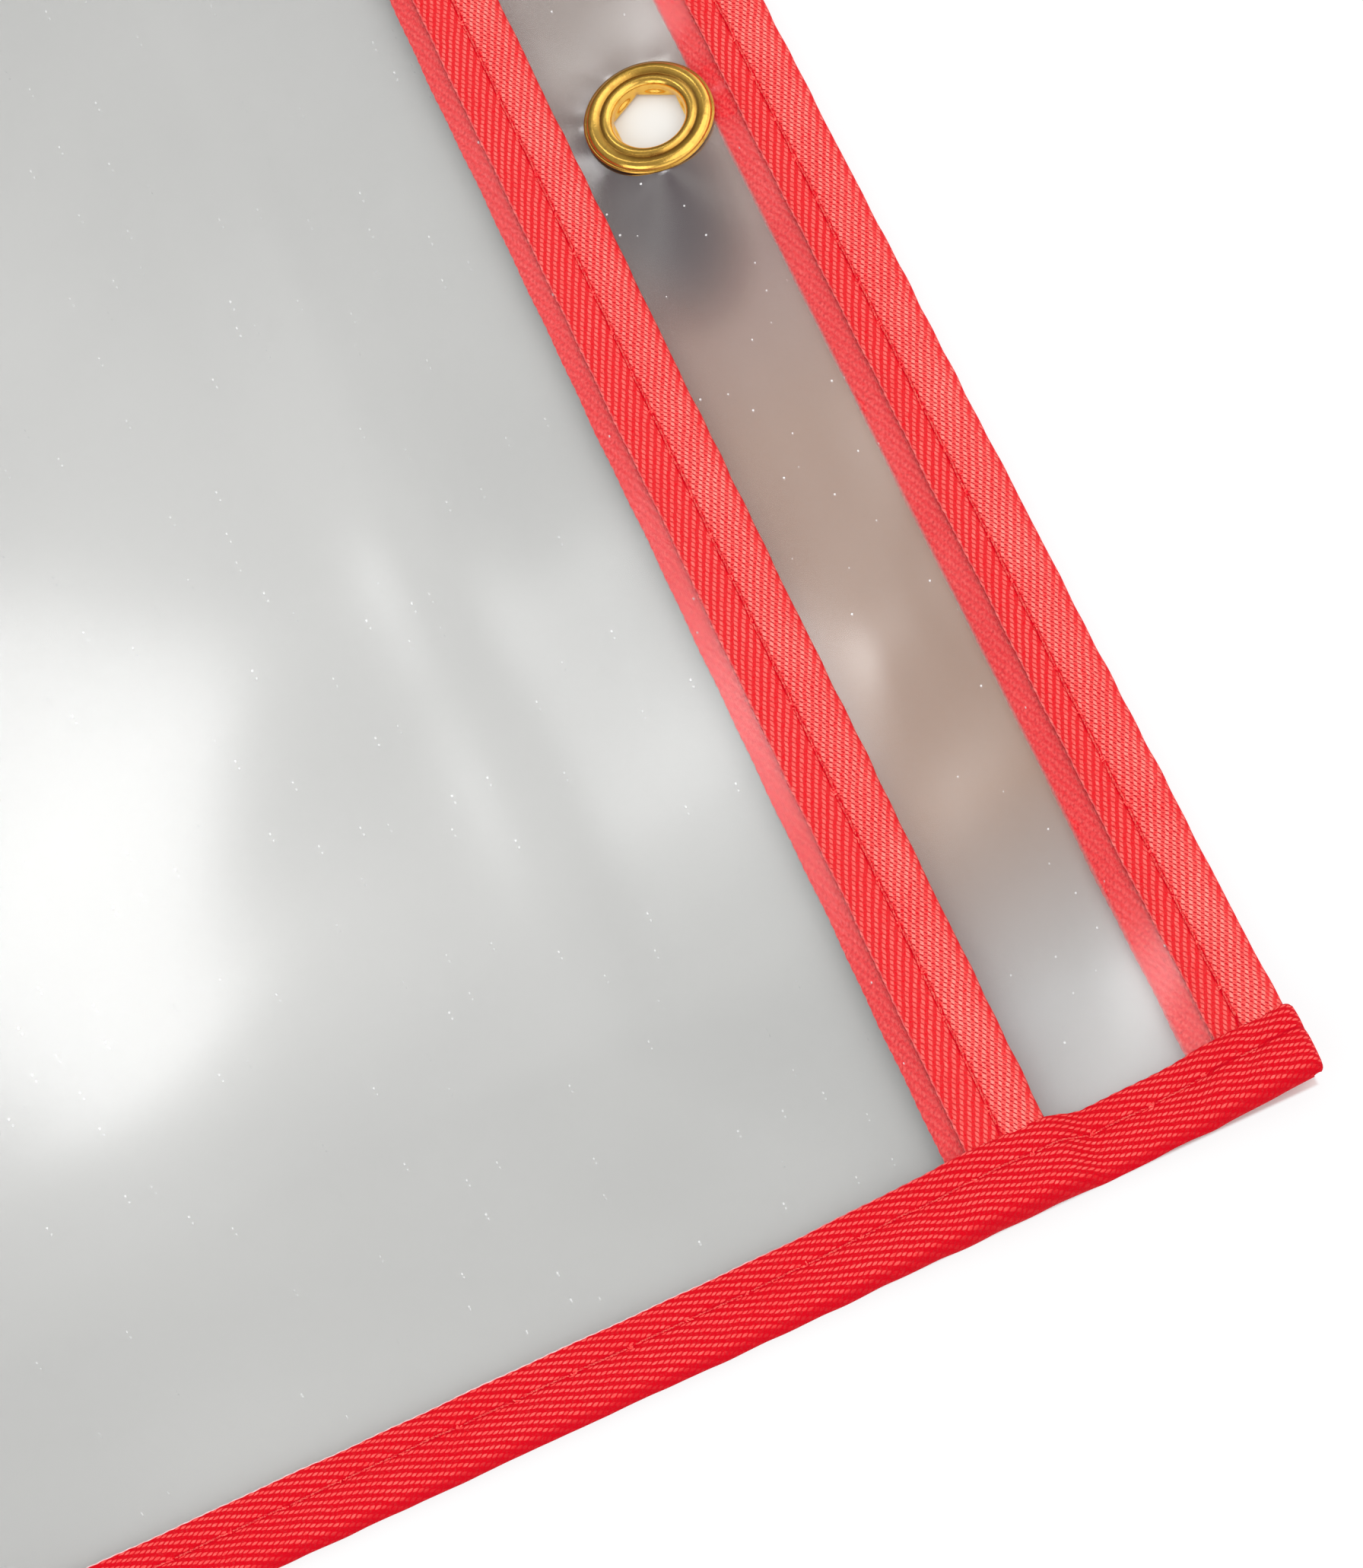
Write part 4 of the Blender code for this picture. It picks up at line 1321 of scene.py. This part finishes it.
def piece_width(piece: bpy.types.Object) -> float:
    """Width of a tape's cloth map, in millimetres."""
    values = np.zeros(len(piece.data.loops) * 2, np.float32)
    piece.data.uv_layers[CLOTH_MAP].data.foreach_get("uv", values)
    return float(np.ptp(values[0::2]))


@dataclass
class Eyelet:
    """The brass eyelet: a rolled flange, and a barrel that splits into petals curled out behind the film."""

    drape: Drape
    centre: Pair = EYELET_CENTRE
    metal: float = 0.32
    lip_radius: float = 6.60
    lip_inner: float = 6.25
    ring_radius: float = 5.60
    ring_rise: float = 0.50
    groove_radius: float = 4.90
    groove_rise: float = 0.26
    roll_radius: float = 0.52
    bore_radius: float = 3.85
    curl_radius: float = 0.42
    curl_reach: float = 1.15
    seat: float = 1.96
    tail: float = 1.04
    petals: int = 6
    turns: int = 144
    crease: float = 40.0

    def arc(self, centre: Pair, radius: float, start: float, stop: float, count: int) -> list[Pair]:
        """Points on an arc, with its angles in degrees."""
        angles = np.radians(np.linspace(start, stop, count))
        return [(centre[0] + radius * math.cos(turn), centre[1] + radius * math.sin(turn)) for turn in angles]

    def section(self) -> Array:
        """Middle line of the metal as (radius, height) points, from its lip to its curled tail."""
        points = [(self.lip_radius, self.seat - 0.03), (self.lip_radius - 0.15, self.seat)]
        span = self.lip_inner - self.ring_radius
        for angle in np.linspace(0, math.pi / 2, 10):
            radius = self.lip_inner - span * (1 - math.cos(angle))
            points.append((radius, self.seat + self.ring_rise * math.sin(angle)))
        middle = (self.ring_radius + self.groove_radius) / 2
        points.append((middle, self.seat + (self.ring_rise + self.groove_rise) / 2 + 0.03))
        points.append((self.groove_radius, self.seat + self.groove_rise))
        roll = (self.bore_radius + self.roll_radius, self.seat + self.ring_rise - self.roll_radius)
        points += self.arc(roll, self.roll_radius, 68, 180, 12)
        points += [(self.bore_radius, z) for z in np.linspace(roll[1], self.tail, 5)[1:-1]]
        points += self.arc((self.bore_radius + self.curl_radius, self.tail), self.curl_radius, 180, 270, 8)
        points.append((self.bore_radius + self.curl_reach, self.tail - self.curl_radius + 0.04))
        return np.array(points)

    def walls(self) -> Array:
        """Closed outline of the metal: the section thickened to both sides."""
        line = self.section()
        fine = np.linspace(0, len(line) - 1, 4 * len(line))
        line = np.stack([np.interp(fine, np.arange(len(line)), axis) for axis in line.T], 1)
        kernel = np.array([1, 2, 3, 2, 1]) / 9
        smooth = np.stack([np.convolve(np.pad(axis, 2, "edge"), kernel, "valid") for axis in line.T], 1)
        smooth[0], smooth[-1] = line[0], line[-1]
        along = np.gradient(smooth, axis=0)
        normal = unit(np.stack([-along[:, 1], along[:, 0]], 1))
        ends = np.minimum(np.arange(len(smooth)), np.arange(len(smooth))[::-1])
        half = self.metal / 2 * (0.45 + 0.55 * eased(ends / 4.0))[:, None]
        return np.concatenate([smooth + normal * half, (smooth - normal * half)[::-1]])

    def build(self) -> None:
        """Turn the eyelet from its outline, with a six-sided lower bore and petals, and dress it."""
        outline = self.walls()
        turn = np.linspace(0, math.tau, self.turns, endpoint=False)[:, None]
        radius, z = outline[None, :, 0], outline[None, :, 1]
        sector = (turn % (math.tau / self.petals)) - math.pi / self.petals
        six = math.cos(math.pi / self.petals) / np.cos(sector) / 0.955
        low = eased((self.tail + 0.55 - z) / 0.6)
        hexagon = 1 + (six - 1) * low * eased((self.bore_radius + 0.9 - radius) / 0.7)
        slot = hump(np.abs(sector) - math.pi / self.petals, 0.075)
        out = np.clip(radius - self.bore_radius - 0.30, 0, None) * (z < self.tail)
        ring = radius * hexagon - out * slot * 0.8
        ring = ring * (1 + 0.0018 * np.sin(turn * 3 + 0.5) + 0.001 * np.sin(turn * 7))
        height = z + 0.014 * np.sin(turn * 2 + 1.0) + 0.05 * slot * low
        x = self.centre[0] + ring * np.cos(turn)
        y = self.centre[1] + ring * np.sin(turn)
        points = self.drape.lifted(np.stack([x, y, height], 2))
        rows, columns = points.shape[:2]
        index = np.arange(rows * columns).reshape(rows, columns)
        after, beside = np.roll(index, -1, 0), np.roll(index, -1, 1)
        quads = np.stack([index, after, np.roll(after, -1, 1), beside], 2).reshape(-1, 4)
        mesh = bpy.data.meshes.new("brass_eyelet")
        mesh.from_pydata((points.reshape(-1, 3) * MM).tolist(), [], quads.tolist())
        piece = shown("brass_eyelet", mesh, self.crease)
        settle(piece, BrassFinish(centre=self.centre).make("brass"), "brass_eyelet", "eyelet")


@dataclass
class Studio:
    """Floor, world, lamps and camera.

    Each glint gives its X and Y on the sleeve, and its lamp's size in metres and power in watts.
    """

    drape: Drape
    camera_place: Place = (392.66, 129.53, 550.60)
    camera_right: Place = (0.36699962, 0.90775921, -0.20318586)
    camera_down: Place = (0.78088693, -0.41934058, -0.46300009)
    camera_ahead: Place = (-0.50549667, 0.01125568, -0.86275513)
    lens: float = 156.07
    floor_half: float = 4.0
    floor_level: float = -0.05
    lamp_aim: Place = (0.06, 0.12, 0.0)
    film_level: float = 2.6
    glints: tuple[tuple[float, float, float, float], ...] = (
        (49.0, 79.0, 0.120, 0.12),
        (47.0, 84.0, 0.250, 0.060),
        (106.0, 174.0, 0.060, 0.022),
        (-2.0, 164.0, 0.036, 0.014),
    )
    glint_distance: float = 1.0

    def camera(self) -> None:
        """The camera at the photograph's angle."""
        data = bpy.data.cameras.new("camera")
        data.lens = self.lens
        data.sensor_width = 36.0
        data.clip_start, data.clip_end = 0.01, 100.0
        view = bpy.data.objects.new("camera", data)
        axes = (Vector(self.camera_right), -Vector(self.camera_down), -Vector(self.camera_ahead))
        turn = Matrix(axes).transposed().to_4x4()
        view.matrix_world = Matrix.Translation(Vector(self.camera_place) * MM) @ turn
        bpy.context.scene.collection.objects.link(view)
        bpy.context.scene.camera = view

    def floor(self) -> None:
        """A wide plain floor, just under the sleeve."""
        signs = ((-1, -1), (1, -1), (1, 1), (-1, 1))
        corners = [(x * self.floor_half, y * self.floor_half, self.floor_level * MM) for x, y in signs]
        mesh = bpy.data.meshes.new("floor")
        mesh.from_pydata(corners, [], [(0, 1, 2, 3)])
        floor = bpy.data.objects.new("floor", mesh)
        bpy.context.scene.collection.objects.link(floor)
        mesh.materials.append(FloorFinish().make("floor"))

    def world(self) -> None:
        """Soft light from all round: white near the horizon, greyer overhead."""
        world = bpy.data.worlds.new("studio")
        world.use_nodes = True
        bpy.context.scene.world = world
        graph = Graph(world.node_tree)
        place = graph.place("Generated")
        east, north, up = place.parts()
        panels = graph.noise(place, 11.0, Distortion=1.2).between(0.36, 0.64)
        ceiling = graph.blend(panels, (0.10, 0.10, 0.11, 1.0), (0.62, 0.62, 0.60, 1.0))
        lit_side = (east * 0.5 + north * 0.85).between(-0.25, 0.35)
        horizon = graph.blend(lit_side, (0.16, 0.14, 0.12, 1.0), (1.15, 1.15, 1.12, 1.0))
        overhead = graph.blend(up.between(0.35, 0.80), horizon, ceiling)
        colour = graph.blend(graph.seen(), (0.86, 0.86, 0.87, 1.0), overhead)
        light = graph.node("ShaderNodeBackground", {"Color": colour, "Strength": 1.0})
        graph.node("ShaderNodeOutputWorld", {"Surface": light})

    def lamp(
        self,
        name: str,
        place: Sequence[float],
        aim: Sequence[float],
        size: Pair,
        watts: float,
        shape: str = "RECTANGLE",
    ) -> None:
        """Add an area lamp.

        Args:
            name: its name.
            place: where it hangs, in metres.
            aim: the point that it faces.
            size: its width and height, in metres.
            watts: its power.
            shape: its outline.
        """
        data = bpy.data.lights.new(name, "AREA")
        data.shape = shape
        data.size, data.size_y = size
        data.energy = watts
        lamp = bpy.data.objects.new(name, data)
        lamp.location = place
        lamp.rotation_mode = "QUATERNION"
        lamp.rotation_quaternion = (Vector(aim) - Vector(place)).to_track_quat("-Z", "Y")
        bpy.context.scene.collection.objects.link(lamp)

    def lamps(self) -> None:
        """A wide key from beyond the top edge, a fill, and small lamps that the film mirrors."""
        self.lamp("key", (0.20, 0.70, 1.10), self.lamp_aim, (1.7, 1.1), 6.5)
        self.lamp("fill", (0.70, -0.75, 0.85), self.lamp_aim, (0.9, 0.9), 4.0)
        for number, (x, y, size, watts) in enumerate(self.glints):
            spot = Vector((x, y, self.film_level)) * MM
            near = self.drape.lift(x + np.array([-0.5, 0.5, 0.0, 0.0]), y + np.array([0.0, 0.0, -0.5, 0.5]))
            normal = Vector((near[0] - near[1], near[2] - near[3], 1.0))
            mirrored = (spot - Vector(self.camera_place) * MM).normalized().reflect(normal)
            place = spot + mirrored * self.glint_distance
            self.lamp(f"glint_{number}", place, spot, (size, size), watts, "DISK")

    def build(self) -> None:
        """Everything round the sleeve."""
        self.camera()
        self.floor()
        self.world()
        self.lamps()
        bpy.context.scene.view_settings.view_transform = "Standard"


def main() -> None:
    """Build the sleeve's looks in order."""
    logging.basicConfig(level=logging.INFO, format="%(name)s %(message)s")
    drape = Drape()
    Studio(drape).build()
    Films(drape).build()
    Bindings(drape).build()
    Eyelet(drape).build()


if __name__ == "__main__":
    main()
